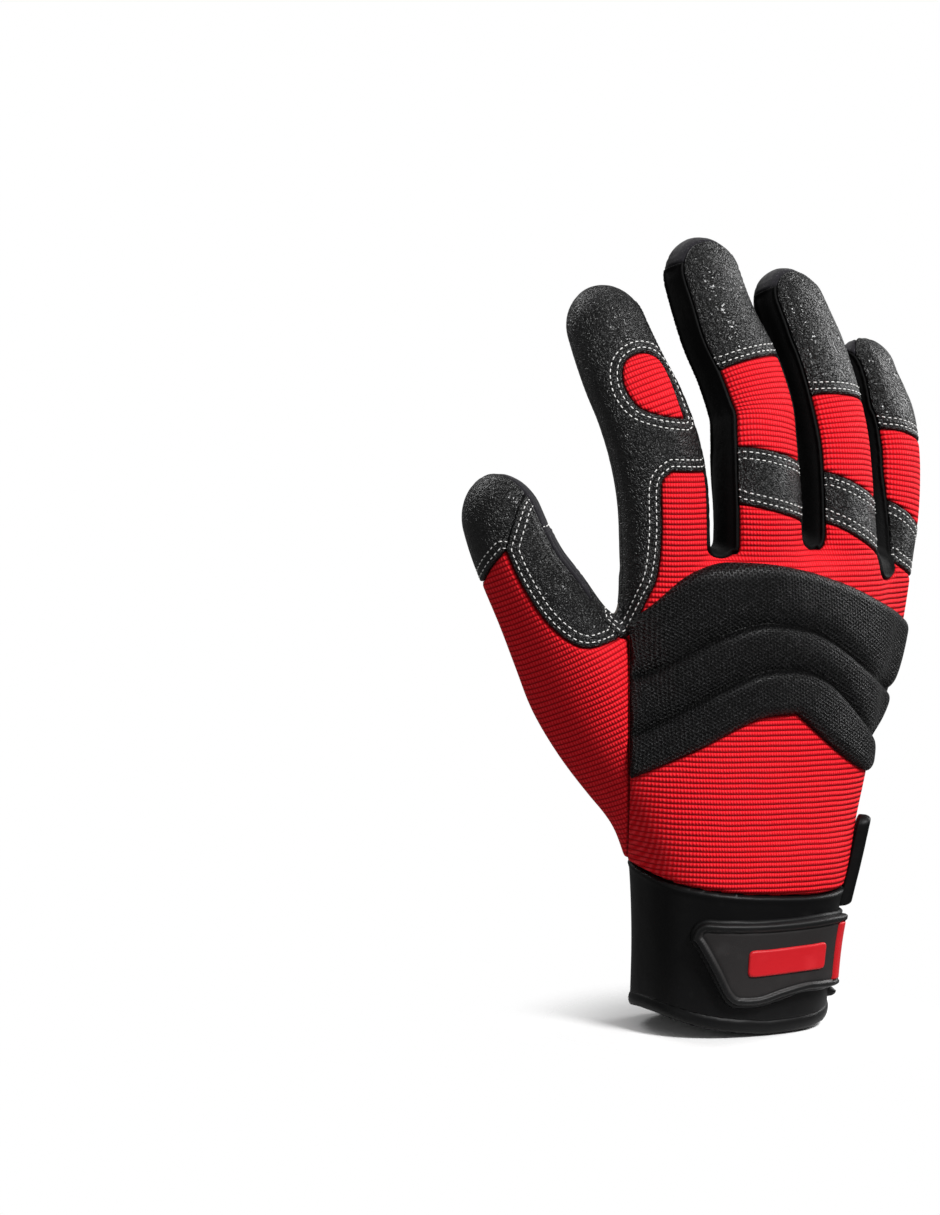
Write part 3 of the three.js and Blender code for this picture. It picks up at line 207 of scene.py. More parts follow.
# %% The fingers and the thumb
# Root as shares of the palm's width, thickness and height, then reach, width, thickness and roll. The rows
# are columns here: up, across and back as shares of the reach, wide and thick of the finger's own two
# sizes.
FINGERS = {
    "index": dict(
        root=(-0.181, -0.09, 0.71), reach=123, width=28, thickness=22.5, roll=-2,
        up=(0, 0.163, 0.313, 0.463, 0.589, 0.7, 0.797, 0.9, 1),
        across=(0, -0.02, -0.026, -0.034, -0.049, -0.076, -0.105, -0.125, -0.134),
        back=(0, 0, 0, 0, -0.016, -0.042, -0.084, -0.134, -0.185),
        wide=(0.96, 0.99, 1, 1, 1, 0.97, 0.92, 0.86, 0.8),
        thick=(1.1, 1.08, 1.04, 1, 1, 0.97, 0.94, 0.88, 0.82),
    ),
    "middle": dict(
        root=(0.088, 0, 0.865), reach=115, width=27, thickness=22.5, roll=6,
        up=(0, 0.24, 0.36, 0.46, 0.54, 0.65, 0.76, 0.87, 1),
        across=(0, 0.002, 0.006, 0.014, 0.02, 0.003, -0.027, -0.042, -0.062),
        back=(0, 0, -0.017, -0.043, -0.07, -0.113, -0.165, -0.217, -0.255),
        wide=(1.06, 1.04, 1.02, 1, 0.985, 0.97, 0.93, 0.89, 0.84),
        thick=(1.1, 1.02, 1, 1, 0.98, 0.96, 0.92, 0.86, 0.82),
    ),
    "ring": dict(
        root=(0.387, -0.12, 0.824), reach=111, width=25.5, thickness=21.5, roll=15,
        up=(0, 0.2, 0.31, 0.42, 0.53, 0.65, 0.76, 0.84, 0.93, 1),
        across=(0, 0.006, 0.011, 0.014, 0.016, 0.007, -0.008, -0.026, -0.044, -0.048),
        back=(0, 0, -0.01, -0.027, -0.054, -0.09, -0.13, -0.16, -0.2, -0.225),
        wide=(1.08, 1.06, 1.02, 1, 1, 0.98, 0.95, 0.91, 0.87, 0.83),
        thick=(1.1, 1.06, 1, 1, 1, 0.97, 0.94, 0.9, 0.86, 0.82),
    ),
    "pinky": dict(
        root=(0.392, -0.235, 0.486), reach=138, width=22, thickness=19.5, roll=23,
        up=(0, 0.145, 0.29, 0.42, 0.522, 0.609, 0.725, 0.812, 0.858, 0.899, 0.95, 1),
        across=(0, 0.072, 0.127, 0.149, 0.164, 0.185, 0.203, 0.203, 0.193, 0.18, 0.172, 0.167),
        back=(0, -0.022, -0.04, -0.043, -0.043, -0.05, -0.072, -0.094, -0.109, -0.12, -0.136, -0.152),
        wide=(0.8, 0.84, 0.9, 1, 1.02, 1, 1, 0.98, 0.95, 0.92, 0.88, 0.84),
        thick=(0.85, 0.9, 1, 1.06, 1.04, 1.02, 0.98, 0.96, 0.94, 0.92, 0.88, 0.84),
    ),
    "thumb": dict(
        root=(-0.137, -0.118, 0.338), reach=121, width=30, thickness=26, roll=-65,
        up=(0, 0.145, 0.246, 0.35, 0.452, 0.555, 0.657, 0.76, 0.863, 1),
        across=(0, -0.066, -0.145, -0.213, -0.262, -0.303, -0.35, -0.405, -0.445, -0.486),
        back=(0, -0.017, -0.033, -0.054, -0.074, -0.091, -0.112, -0.132, -0.149, -0.165),
        wide=(0.93, 0.99, 1.04, 1.12, 1.2, 1.16, 1.03, 0.88, 0.82, 0.73),
        thick=(0.9, 0.95, 1, 1, 1, 0.98, 0.96, 0.9, 0.86, 0.8),
    ),
}
CAP_SHARE = 0.46


def finger_limb(root, reach, width, thickness, roll, up, across, back, wide, thick):
    sizes = (PALM_WIDTH, PALM_THICK, PALM_TOP)
    start = [share * size for share, size in zip(root, sizes)]
    rows = [
        (start[0] + a * reach, start[1] + b * reach, start[2] + h * reach,
         w * width / 2, k * thickness / 2, 0)
        for h, a, b, w, k in zip(up, across, back, wide, thick)
    ]
    return Limb(rows, roll, cap=CAP_SHARE * width, power=2.25)


limbs = {name: finger_limb(**finger) for name, finger in FINGERS.items()}
limbs["palm"] = palm
print("Limbs, in millimetres:", {name: round(limb.length) for name, limb in limbs.items()})

# %% [markdown]
# ## The skin
# Each limb's distance is worked out on a fine lattice, and the six are joined with a smooth minimum, which
# leaves a soft web where thumb and fingers leave the palm. Surface nets turn the lattice into a mesh: one
# point in every cell that the skin crosses, joined to its neighbours. Each point then slides onto the skin
# exactly.

# %% Join the limbs on a lattice
CELL = 0.9
FAR = 30.0
MARGIN = 6
WEB = {"finger": 6.0, "thumb": 9.0, "between": 1.2}
SKIN_LOW = 33


def smooth_min(a, b, blend):
    share = np.maximum(blend - np.abs(a - b), 0) / blend
    return np.minimum(a, b) - share * share * blend / 4


low = np.array([cad_low.x, cad_low.y, 0]) / MM - MARGIN
high = np.array(cad_high) / MM + MARGIN
low[2] = SKIN_LOW
axes = [np.arange(low[i], high[i], CELL, dtype=np.float32) for i in range(3)]


def on_lattice(limb):
    """A limb's distance on the lattice, worked out only in the limb's own box."""
    values = np.full([len(axis) for axis in axes], FAR, np.float32)
    reach = np.maximum(limb.half_wide, limb.half_thick).max() + 8
    span = []
    for i, axis in enumerate(axes):
        inside = (axis > limb.centre[:, i].min() - reach) & (axis < limb.centre[:, i].max() + reach)
        span.append(np.flatnonzero(inside))
    grid = np.stack(np.meshgrid(*[axes[i][s] for i, s in enumerate(span)], indexing="ij"), axis=-1)
    slices = [limb.distance(limb.local(slab.reshape(-1, 3).astype(float))) for slab in grid]
    values[np.ix_(*span)] = np.reshape(slices, grid.shape[:3])
    return values


fields = {name: on_lattice(limb) for name, limb in limbs.items()}
fingers = fields["index"]
for name in ("middle", "ring", "pinky"):
    fingers = smooth_min(fingers, fields[name], WEB["between"])
hand = smooth_min(fields["palm"], fingers, WEB["finger"])
hand = smooth_min(hand, fields["thumb"], WEB["thumb"])
print("Lattice of", hand.size, "points")


# %% Slide points onto the skin
def sample(points):
    """The hand's distance anywhere, from the eight lattice points around."""
    place = (points - low) / CELL
    i = np.clip(place.astype(int), 0, np.array(hand.shape) - 2)
    t = np.clip(place - i, 0, 1)
    total = 0
    for corner in np.ndindex(2, 2, 2):
        weight = np.prod(np.where(corner, t, 1 - t), axis=1)
        total = total + weight * hand[i[:, 0] + corner[0], i[:, 1] + corner[1], i[:, 2] + corner[2]]
    return total


def slope(points):
    steps = np.eye(3) * CELL
    return np.stack([sample(points + s) - sample(points - s) for s in steps], axis=1) / (2 * CELL)


def settled(points):
    for _ in range(3):
        gradient = slope(points)
        size = np.maximum((gradient**2).sum(1), 0.1)
        points = points - (sample(points) / size)[:, None] * gradient
    return points


# %% Surface nets
def surface_net(values, cell=CELL):
    """The mesh of a lattice's zero surface: one point for each cell that it crosses, and their triangles."""
    inside = values < 0
    corners = list(np.ndindex(2, 2, 2))
    wide, deep, tall = np.array(inside.shape) - 1
    count = sum(inside[a:a + wide, b:b + deep, c:c + tall].astype(int) for a, b, c in corners)
    active = (count > 0) & (count < 8)
    cells = np.argwhere(active)
    number = np.full(active.shape, -1)
    number[active] = np.arange(len(cells))
    total, hits = np.zeros((len(cells), 3)), np.zeros(len(cells))
    for start in corners:
        for axis in range(3):
            if start[axis]:
                continue
            end = tuple(1 if k == axis else start[k] for k in range(3))
            a = values[tuple((cells + start).T)]
            b = values[tuple((cells + end).T)]
            crossed = (a < 0) != (b < 0)
            t = np.where(crossed, a / np.where(crossed, a - b, 1), 0)
            spot = np.array(start) + t[:, None] * (np.array(end) - np.array(start))
            total[crossed] += spot[crossed]
            hits += crossed
    points = low + cell * (cells + total / hits[:, None])
    quads = []
    for axis in range(3):
        one, two = np.eye(3, dtype=int)[[(axis + 1) % 3, (axis + 2) % 3]]
        before = np.moveaxis(inside, axis, 0)
        change = np.moveaxis(before[:-1] != before[1:], 0, axis)
        spots = np.argwhere(change)
        room = np.array(active.shape)
        spots = spots[((spots - one - two >= 0) & (spots < room)).all(axis=1)]
        shifts = (0 * one, one, one + two, two)
        quad = np.stack([number[tuple((spots - shift).T)] for shift in shifts], axis=1)
        outward = inside[tuple(spots.T)]
        quad[~outward] = quad[~outward][:, ::-1]
        quads.append(quad[(quad >= 0).all(axis=1)])
    quads = np.concatenate(quads)
    split = np.linalg.norm(points[quads[:, 0]] - points[quads[:, 2]], axis=1)
    other = np.linalg.norm(points[quads[:, 1]] - points[quads[:, 3]], axis=1)
    first = np.where((split <= other)[:, None], quads[:, [0, 1, 2]], quads[:, [0, 1, 3]])
    second = np.where((split <= other)[:, None], quads[:, [0, 2, 3]], quads[:, [1, 2, 3]])
    return points, np.concatenate([first, second])


skin_points, skin_faces = surface_net(hand)
skin_points = settled(skin_points)
print("Skin of", len(skin_faces), "triangles")

# %% [markdown]
# ## Sheets
# A sheet is a piece of skin with facts at every point, such as the place along each finger. Cutting a sheet
# along the zero line of a field mixes those facts at the new points, so a sheet can be cut again and again,
# made finer, lifted, and given a turned-in edge of a real depth.

# %% The sheet
SPECK = 0.08
FAR_IN = 8.0


class Sheet:
    def __init__(self, points, faces, facts):
        self.points, self.faces, self.facts = points, faces, facts

    def __getitem__(self, name):
        return self.facts[name]

    def kept(self, faces, points=None, facts=None):
        points = self.points if points is None else points
        facts = self.facts if facts is None else facts
        used, faces = np.unique(faces, return_inverse=True)
        return Sheet(points[used], faces.reshape(-1, 3), {k: f[used] for k, f in facts.items()})

    def with_middles(self, ends, share):
        """Points and facts with one more of each for every pair of ends."""
        def grow(values):
            mix = share if values.ndim == 1 else share[:, None]
            return np.concatenate([values, values[ends[:, 0]] * (1 - mix) + values[ends[:, 1]] * mix])
        return grow(self.points), {name: grow(values) for name, values in self.facts.items()}

    def cut(self, field):
        """What lies where the field is negative."""
        field = np.where(np.abs(field) < 0.02, -0.02, field)
        inside = field[self.faces] < 0
        count = inside.sum(1)
        turn = np.where(count == 1, inside.argmax(1), inside.argmin(1))
        turned = np.take_along_axis(self.faces, (turn[:, None] + np.arange(3)) % 3, axis=1)
        one, two = turned[count == 1], turned[count == 2]
        pairs = np.concatenate([one[:, [0, 1]], one[:, [0, 2]], two[:, [0, 1]], two[:, [0, 2]]])
        if len(pairs) == 0:
            return self.kept(self.faces[count == 3])
        ends, which = np.unique(np.sort(pairs, axis=1), axis=0, return_inverse=True)
        which = which.reshape(-1) + len(self.points)
        share = field[ends[:, 0]] / (field[ends[:, 0]] - field[ends[:, 1]])
        points, facts = self.with_middles(ends, share)
        a, b, c, d = np.split(which, np.cumsum([len(one), len(one), len(two)]))
        faces = np.concatenate([
            self.faces[count == 3],
            np.stack([one[:, 0], a, b], axis=1),
            np.stack([c, two[:, 1], two[:, 2]], axis=1),
            np.stack([c, two[:, 2], d], axis=1),
        ])
        return self.kept(faces, points, facts)

    def finer(self):
        """Every triangle as four, with the new points on the skin."""
        pairs = np.concatenate([self.faces[:, [0, 1]], self.faces[:, [1, 2]], self.faces[:, [2, 0]]])
        ends, which = np.unique(np.sort(pairs, axis=1), axis=0, return_inverse=True)
        ab, bc, ca = np.split(which.reshape(-1) + len(self.points), 3)
        points, facts = self.with_middles(ends, np.full(len(ends), 0.5))
        a, b, c = self.faces.T
        quarters = ((a, ab, ca), (ab, b, bc), (ca, bc, c), (ab, bc, ca))
        faces = np.concatenate([np.stack(quarter, axis=1) for quarter in quarters])
        return Sheet(settled(points), faces, facts)

    def largest(self):
        """Without loose specks: parts with far fewer triangles than the largest go."""
        label = np.arange(len(self.points))
        while True:
            lowest = label[self.faces].min(1)
            before = label.copy()
            for k in range(3):
                np.minimum.at(label, self.faces[:, k], lowest)
            label = label[label]
            if (label == before).all():
                break
        names, count = np.unique(label[self.faces[:, 0]], return_counts=True)
        big = names[count > SPECK * count.max()]
        return self.kept(self.faces[np.isin(label[self.faces[:, 0]], big)])

    def rim(self):
        """The edges that only one triangle has, in the triangle's own direction."""
        pairs = np.concatenate([self.faces[:, [0, 1]], self.faces[:, [1, 2]], self.faces[:, [2, 0]]])
        key = np.sort(pairs, axis=1)
        key = key[:, 0] * len(self.points) + key[:, 1]
        _, first, count = np.unique(key, return_index=True, return_counts=True)
        return pairs[first[count == 1]]

    def edge_distance(self, where=None):
        """How far each point is from the rim, or from the part of the rim that a test picks, up to FAR_IN."""
        rim = self.rim()
        spots = np.concatenate([self.points[rim[:, 0]], self.points[rim].mean(1)])
        if where is not None:
            facts = {k: np.concatenate([f[rim[:, 0]], f[rim].mean(1)]) for k, f in self.facts.items()}
            spots = spots[where(facts)]
        if len(spots) == 0:
            return np.full(len(self.points), FAR_IN)
        tree = kdtree.KDTree(len(spots))
        for i, spot in enumerate(spots):
            tree.insert(spot, i)
        tree.balance()
        return np.minimum([tree.find(point)[2] for point in self.points], FAR_IN)


# %% The facts of the whole skin
skin = Sheet(skin_points, skin_faces, {})
skin.facts["x"], _, skin.facts["z"] = skin_points.T
skin.facts["s"] = skin_points @ ACROSS
skin.facts["b"] = skin_points @ BACK
for name, limb in limbs.items():
    local = limb.local(skin_points)
    for fact, values in zip(("along", "u", "v", "hw", "ht"), local):
        skin.facts[f"{name}_{fact}"] = values
    skin.facts[f"{name}_far"] = limb.distance(local)
print("Facts at each point:", len(skin.facts))

# %% [markdown]
# ## Seams
# A seam is the zero line of a field. Bands follow a limb, between shares of its half width and half
# thickness. Outlines are drawn as the maker's pattern is: from the front for the back of the glove, and
# from the palm's side for the palm. Joining fields is taking the larger or the smaller of them.

# %% Bands along a limb
ANYWHERE = 99.0


def band(name, low_v, high_v=ANYWHERE, sides=(-1.04, 1.04), start=-ANYWHERE, end=ANYWHERE * 3):
    """Negative inside a band of a limb. Low v is given at the thumb's and at the other side."""
    def field(sheet):
        u, v = sheet[f"{name}_u"], sheet[f"{name}_v"]
        share = (u - sides[0]) / (sides[1] - sides[0])
        low_here = low_v[0] + (low_v[1] - low_v[0]) * share
        half_wide, half_thick, along = (sheet[f"{name}_{fact}"] for fact in ("hw", "ht", "along"))
        return np.max([
            (low_here - v) * half_thick,
            (v - high_v) * half_thick,
            (sides[0] - u) * half_wide,
            (u - sides[1]) * half_wide,
            start - along,
            along - end,
        ], axis=0)
    return field


# %% Joining fields
def both(*fields):
    return lambda sheet: np.max([field(sheet) for field in fields], axis=0)


def either(*fields):
    return lambda sheet: np.min([field(sheet) for field in fields], axis=0)


def without(field, *others):
    return lambda sheet: np.max([field(sheet)] + [-other(sheet) for other in others], axis=0)


def nearer(name, *others):
    """Negative where a finger is nearer than its neighbours."""
    return lambda sheet: sheet[f"{name}_far"] - np.min([sheet[f"{other}_far"] for other in others], axis=0)


# %% Outlines
OUTLINE_STEP = 1.5


def trace(*stretches):
    """A closed outline from stretches of smooth curve, in shares of the palm's width and height."""
    points = []
    for stretch in stretches:
        rows = np.array(stretch) * (PALM_WIDTH, PALM_TOP)
        if len(rows) == 2:
            count = 2
        else:
            count = 2 + int(np.linalg.norm(np.diff(rows, axis=0), axis=1).sum() / OUTLINE_STEP)
        points.append(spline(rows, np.linspace(0, len(rows) - 1, count)))
    line = np.concatenate(points)
    apart = np.linalg.norm(line - np.roll(line, 1, axis=0), axis=1) > 0.2
    return line[apart]


def to_outline(place, outline):
    """The distance to a closed outline, negative inside."""
    best = np.full(len(place), np.inf)
    crossings = np.zeros(len(place), int)
    for a, b in zip(outline, np.roll(outline, -1, axis=0)):
        along = b - a
        share = np.clip(((place - a) @ along) / (along @ along), 0, 1)
        best = np.minimum(best, ((place - a - share[:, None] * along) ** 2).sum(1))
        if a[1] != b[1]:
            level = (a[1] > place[:, 1]) != (b[1] > place[:, 1])
            crossings += level & (place[:, 0] < a[0] + (place[:, 1] - a[1]) * along[0] / along[1])
    return np.sqrt(best) * np.where(crossings % 2 == 1, -1, 1)


def front_view(sheet):
    return np.stack([sheet["x"], sheet["z"]], axis=1)


def palm_view(sheet):
    return np.stack([sheet["s"], sheet["z"]], axis=1)


def from_front(outline):
    return lambda sheet: to_outline(front_view(sheet), outline)


def from_palm(outline):
    return lambda sheet: to_outline(palm_view(sheet), outline)


# %% Pattern of the back, seen from the front
GUARD = trace(
    [(-0.3165, 0.853), (-0.24, 0.897), (-0.16, 0.944), (-0.09, 0.965), (-0.01, 0.971), (0.1, 0.969),
     (0.2, 0.954), (0.3, 0.932), (0.38, 0.908), (0.46, 0.875), (0.53, 0.84), (0.6, 0.79)],
    [(0.6, 0.79), (0.54, 0.46)],
    [(0.54, 0.46), (0.36, 0.545), (0.19, 0.655)],
    [(0.19, 0.655), (0.06, 0.645), (-0.12, 0.586), (-0.3165, 0.527)],
    [(-0.3165, 0.527), (-0.3165, 0.853)],
)
GROOVES = [
    [(-0.36, 0.73), (-0.24, 0.753), (-0.1, 0.806), (0.03, 0.84), (0.13, 0.845), (0.26, 0.82), (0.4, 0.745),
     (0.62, 0.58)],
    [(-0.36, 0.612), (-0.24, 0.641), (-0.09, 0.698), (0.05, 0.741), (0.15, 0.75), (0.25, 0.735),
     (0.35, 0.675), (0.56, 0.47)],
]
INDEX_WINDOW = trace(
    [(-0.15, 1.275), (-0.195, 1.36), (-0.235, 1.403), (-0.29, 1.412), (-0.335, 1.39), (-0.335, 1.345),
     (-0.295, 1.304), (-0.23, 1.285), (-0.15, 1.275)],
)
INDEX_LEATHER = trace(
    [(-0.02, 1.16), (-0.19, 1.168)],
    [(-0.19, 1.168), (-0.222, 1.14), (-0.222, 1.04), (-0.236, 0.95), (-0.27, 0.897), (-0.322, 0.822)],
    [(-0.322, 0.822), (-0.347, 0.822)],
    [(-0.347, 0.822), (-0.4, 0.86)],
    [(-0.4, 0.86), (-0.45, 1.2)],
    [(-0.45, 1.2), (-0.6, 1.7)],
    [(-0.6, 1.7), (-0.02, 1.7)],
)
THUMB_CAP = trace(
    [(-0.9, 0.9), (-0.765, 0.93)],
    [(-0.765, 0.93), (-0.735, 0.97), (-0.692, 1.008)],
    [(-0.692, 1.008), (-0.676, 1.05), (-0.649, 1.104), (-0.62, 1.14)],
    [(-0.62, 1.14), (-0.62, 1.3)],
    [(-0.62, 1.3), (-1, 1.3)],
    [(-1, 1.3), (-0.9, 0.9)],
)
THUMB_LEATHER = trace(
    [(-0.692, 1.008), (-0.65, 0.943), (-0.586, 0.872), (-0.517, 0.825), (-0.447, 0.804), (-0.352, 0.818)],
    [(-0.352, 0.818), (-0.352, 0.86)],
    [(-0.352, 0.86), (-0.45, 1.3)],
    [(-0.45, 1.3), (-0.61, 1.3)],
    [(-0.61, 1.3), (-0.61, 1.14)],
    [(-0.61, 1.14), (-0.649, 1.104), (-0.676, 1.05), (-0.692, 1.008)],
)
THUMB_SEAM = -0.319
THUMB_SIDE = trace(
    [(-1.2, -0.1), (THUMB_SEAM, -0.1)],
    [(THUMB_SEAM, -0.1), (THUMB_SEAM, 0.817)],
    [(THUMB_SEAM, 0.817), (-0.35, 0.822)],
    [(-0.35, 0.822), (-0.4, 0.86)],
    [(-0.4, 0.86), (-0.45, 1.2)],
    [(-0.45, 1.2), (-0.6, 1.4)],
    [(-0.6, 1.4), (-1.2, 1.4)],
)
print("Points round the knuckle guard:", len(GUARD))

# %% Pattern of the palm
PALM_PAD = trace(
    [(-0.112, 0.961), (-0.05, 0.975), (0.03, 0.988), (0.05, 1.02), (0.04, 1.09), (0.045, 1.18), (0.09, 1.195),
     (0.16, 1.175), (0.203, 1.14), (0.205, 1.05), (0.225, 0.99), (0.266, 0.972), (0.305, 0.987),
     (0.322, 1.07), (0.355, 1.119), (0.42, 1.103), (0.448, 1.055), (0.455, 0.945), (0.493, 0.912),
     (0.54, 0.912),
     (0.567, 0.96), (0.595, 1.003), (0.64, 1.01), (0.675, 0.98), (0.675, 0.9), (0.63, 0.795), (0.59, 0.728)],
    [(0.59, 0.728), (0.565, 0.72), (0.5, 0.751), (0.38, 0.802), (0.27, 0.829), (0.165, 0.855), (0.133, 0.848),
     (0.17, 0.828), (0.29, 0.779), (0.44, 0.735), (0.53, 0.708), (0.56, 0.68)],
    [(0.56, 0.68), (0.545, 0.605), (0.5, 0.525), (0.434, 0.456)],
    [(0.434, 0.456), (0.36, 0.535), (0.226, 0.641), (0.06, 0.727), (-0.09, 0.796), (-0.148, 0.84),
     (-0.15, 0.9), (-0.112, 0.961)],
)
HEEL_PAD = trace(
    [(-0.178, 0.745), (-0.11, 0.764), (0, 0.698), (0.15, 0.586), (0.27, 0.49), (0.29, 0.44), (0.23, 0.414),
     (0.08, 0.425), (-0.1, 0.447), (-0.152, 0.49), (-0.152, 0.64), (-0.178, 0.745)],
)
INDEX_PATCH = trace(
    [(-0.285, 1.291), (-0.275, 1.228), (-0.2, 1.194), (-0.155, 1.12), (-0.113, 1.015), (-0.15, 0.98),
     (-0.235, 0.905), (-0.3, 0.8)],
    [(-0.3, 0.8), (-0.33, 0.95), (-0.355, 1.25)],
)
QUILTING = [
    [(0.232, 0.923), (0.296, 0.915), (0.407, 0.888), (0.524, 0.854), (0.596, 0.835), (0.605, 0.817),
     (0.595, 0.792), (0.573, 0.781), (0.49, 0.807), (0.391, 0.855), (0.29, 0.891), (0.232, 0.923)],
    [(0.15, 0.74), (0.178, 0.746), (0.273, 0.72), (0.402, 0.682), (0.495, 0.638), (0.506, 0.618),
     (0.473, 0.564), (0.456, 0.568), (0.35, 0.626), (0.239, 0.69), (0.15, 0.74)],
]
print("Points round the palm pad:", len(PALM_PAD))

# %% Back and palm, and the gaps between the fingers
OPEN = (-3.0, -3.0)
LOW_ON = {
    "index": (PALM_SEAM, BACK_SEAM + 0.14),
    "middle": (BACK_SEAM, BACK_SEAM),
    "ring": (BACK_SEAM, BACK_SEAM),
    "pinky": (BACK_SEAM, PALM_SEAM),
    "thumb": (-0.1, -0.1),
}
back_side = either(
    band("palm", (-0.05, -0.05), sides=(-1.3, 1.3), end=PALM_TOP),
    *[band(name, seam) for name, seam in LOW_ON.items()],
)
# Each gap between fingers: its two fingers, the height of its foot, its half width there, and where its
# side walls start along each finger.
GAPS = [
    ("fourchette_index", "index", "middle", 145.5, 4.0, 0.35, 0.16),
    ("fourchette_middle", "middle", "ring", 146.8, 3.6, 0.16, 0.2),
    ("fourchette_ring", "ring", "pinky", 135.4, 3.4, 0.14, 0.46),
]
print("Gaps between fingers:", len(GAPS))


# %% The side walls
def foot(near, far, up, half):
    """A U between two fingers: a stadium round the line midway between them, upwards from its foot."""
    def field(sheet):
        middle = (sheet[f"{near}_far"] - sheet[f"{far}_far"]) / 2
        return np.hypot(middle, np.maximum(up + half - sheet["z"], 0)) - half
    return field


def walls(near, far, near_start, far_start):
    def side(name, sides, start):
        limb = limbs[name]
        return band(name, (PALM_SEAM, PALM_SEAM), BACK_SEAM + 0.2, sides,
                    start * limb.length, limb.length - 0.6 * limb.cap)
    return either(side(near, (0.2, 1.04), near_start), side(far, (-1.04, -0.2), far_start))


feet = either(*[foot(near, far, up, half) for _, near, far, up, half, _, _ in GAPS])
all_walls = either(*[walls(near, far, a, b) for _, near, far, _, _, a, b in GAPS])
back = without(back_side, feet)
palm_side = without(lambda sheet: -back_side(sheet), feet, all_walls)
PAST_THE_TIP = 3.0


# %% Which part of the skin is whose
def stretch(name, start, end=PAST_THE_TIP, lean_start=0, lean_end=0):
    """A length of a finger between two shares of its centreline; each end may lean across the finger."""
    limb = limbs[name]
    others = [other for other in ("index", "middle", "ring", "pinky") if other != name]

    def ends(sheet):
        along, across = sheet[f"{name}_along"], sheet[f"{name}_u"] * sheet[f"{name}_hw"]
        return np.maximum(start * limb.length - along - lean_start * across,
                          along + lean_end * across - end * limb.length)
    part = both(band(name, OPEN, sides=(-3, 3)), ends)
    return part if name == "thumb" else both(part, nearer(name, *others))


index_leather = both(back, from_front(INDEX_LEATHER), nearer("index", "middle"))
index_window = both(back, from_front(INDEX_WINDOW), nearer("index", "middle"))
thumb_side = without(both(back, from_front(THUMB_SIDE)), index_leather)
PIECES = {
    "index_knit": index_window,
    "index_leather": without(index_leather, from_front(INDEX_WINDOW)),
    "thumb_cap": both(thumb_side, from_front(THUMB_CAP)),
    "thumb_leather": without(both(thumb_side, from_front(THUMB_LEATHER)), from_front(THUMB_CAP)),
    "thumb_panel": without(thumb_side, from_front(THUMB_LEATHER), from_front(THUMB_CAP)),
}
# Where strip, knit and tip start, as shares of the finger's centreline, and how far each of those seams
# leans.
FINGER_SEAMS = {
    "middle": ((0.25, 0.39, 0.63), (0.22, 0.14, 0)),
    "ring": ((0.23, 0.37, 0.607), (0.42, 0.38, 0.14)),
    "pinky": ((0.49, 0.602, 0.77), (0.32, 0.35, 0.2)),
}
for name, ((strip, knit, tip), (a, b, c)) in FINGER_SEAMS.items():
    PIECES[f"{name}_strip"] = both(back, stretch(name, strip, knit, a, b))
    PIECES[f"{name}_knit"] = both(back, stretch(name, knit, tip, b, c))
    PIECES[f"{name}_tip"] = both(back, stretch(name, tip, PAST_THE_TIP, c))
PIECES["back_panel"] = without(
    back, from_front(THUMB_SIDE), index_leather, index_window,
    *[stretch(name, starts[0], PAST_THE_TIP, leans[0]) for name, (starts, leans) in FINGER_SEAMS.items()],
)
for name, near, far, up, half, a, b in GAPS:
    PIECES[name] = either(without(walls(near, far, a, b), back_side), foot(near, far, up, half))
PALM_TIPS = {"index": 0.765, "middle": 0.61, "ring": 0.585, "pinky": 0.7, "thumb": 0.82}
for name, tip in PALM_TIPS.items():
    PIECES[f"{name}_palm_tip"] = both(palm_side, stretch(name, tip))
PIECES["palm_panel"] = without(palm_side, *[stretch(name, tip) for name, tip in PALM_TIPS.items()])
print("Pieces in the pattern:", len(PIECES))

# %% Where the skin goes into the cuff
HIDDEN_BY_CUFF = 4


def wrist_seam(sheet):
    """The height of the cuff's top edge, which leans."""
    return CUFF_HEIGHT - SEAM_SLOPE * sheet["b"] - SEAM_LEAN * sheet["s"]


def above_cuff(sheet):
    """The skin ends a little below the wrist seam, inside the cuff."""
    return wrist_seam(sheet) - HIDDEN_BY_CUFF - sheet["z"]


# %% [markdown]
# ## Shader maths as Python
# Materials are built from expressions. `Value` wraps one socket and overloads the operators, so that
# `1 - mask * 0.5` adds its own Math nodes. `Finish` is one material, and its `node` method makes any other
# node.


# %% A socket with arithmetic
class Value:
    def __init__(self, finish, socket):
        self.finish, self.socket = finish, socket

    def is_vector(self):
        return self.socket.type in ("VECTOR", "RGBA")

    def combine(self, operation, *others, flip=False):
        operands = list(others) + [self] if flip else [self] + list(others)
        kind = "ShaderNodeVectorMath" if self.is_vector() else "ShaderNodeMath"
        slots = operands
        if self.is_vector():
            slots = [(other,) * 3 if isinstance(other, (int, float)) else other for other in operands]
        return self.finish.node(kind, {"operation": operation}, dict(enumerate(slots)))

    def __add__(self, other):
        return self.combine("ADD", other)

    def __sub__(self, other):
        return self.combine("SUBTRACT", other)

    def __rsub__(self, other):
        return self.combine("SUBTRACT", other, flip=True)

    def __mul__(self, other):
        return self.combine("MULTIPLY", other)

    def __truediv__(self, other):
        return self.combine("DIVIDE", other)

    def __rtruediv__(self, other):
        return self.combine("DIVIDE", other, flip=True)

    def __pow__(self, power):
        return self.combine("POWER", power)

    __radd__, __rmul__ = __add__, __mul__

    def sin(self):
        return self.combine("SINE")

    def abs(self):
        return self.combine("ABSOLUTE")

    def fraction(self):
        return self.combine("FRACT")

    def larger(self, other):
        return self.combine("MAXIMUM", other)

    def smaller(self, other):
        return self.combine("MINIMUM", other)

    def rise(self, start, end):
        """0 before start, 1 after end, smooth between."""
        return self.finish.node("ShaderNodeMapRange", {"interpolation_type": "SMOOTHSTEP"},
                                {"Value": self, "From Min": start, "From Max": end})


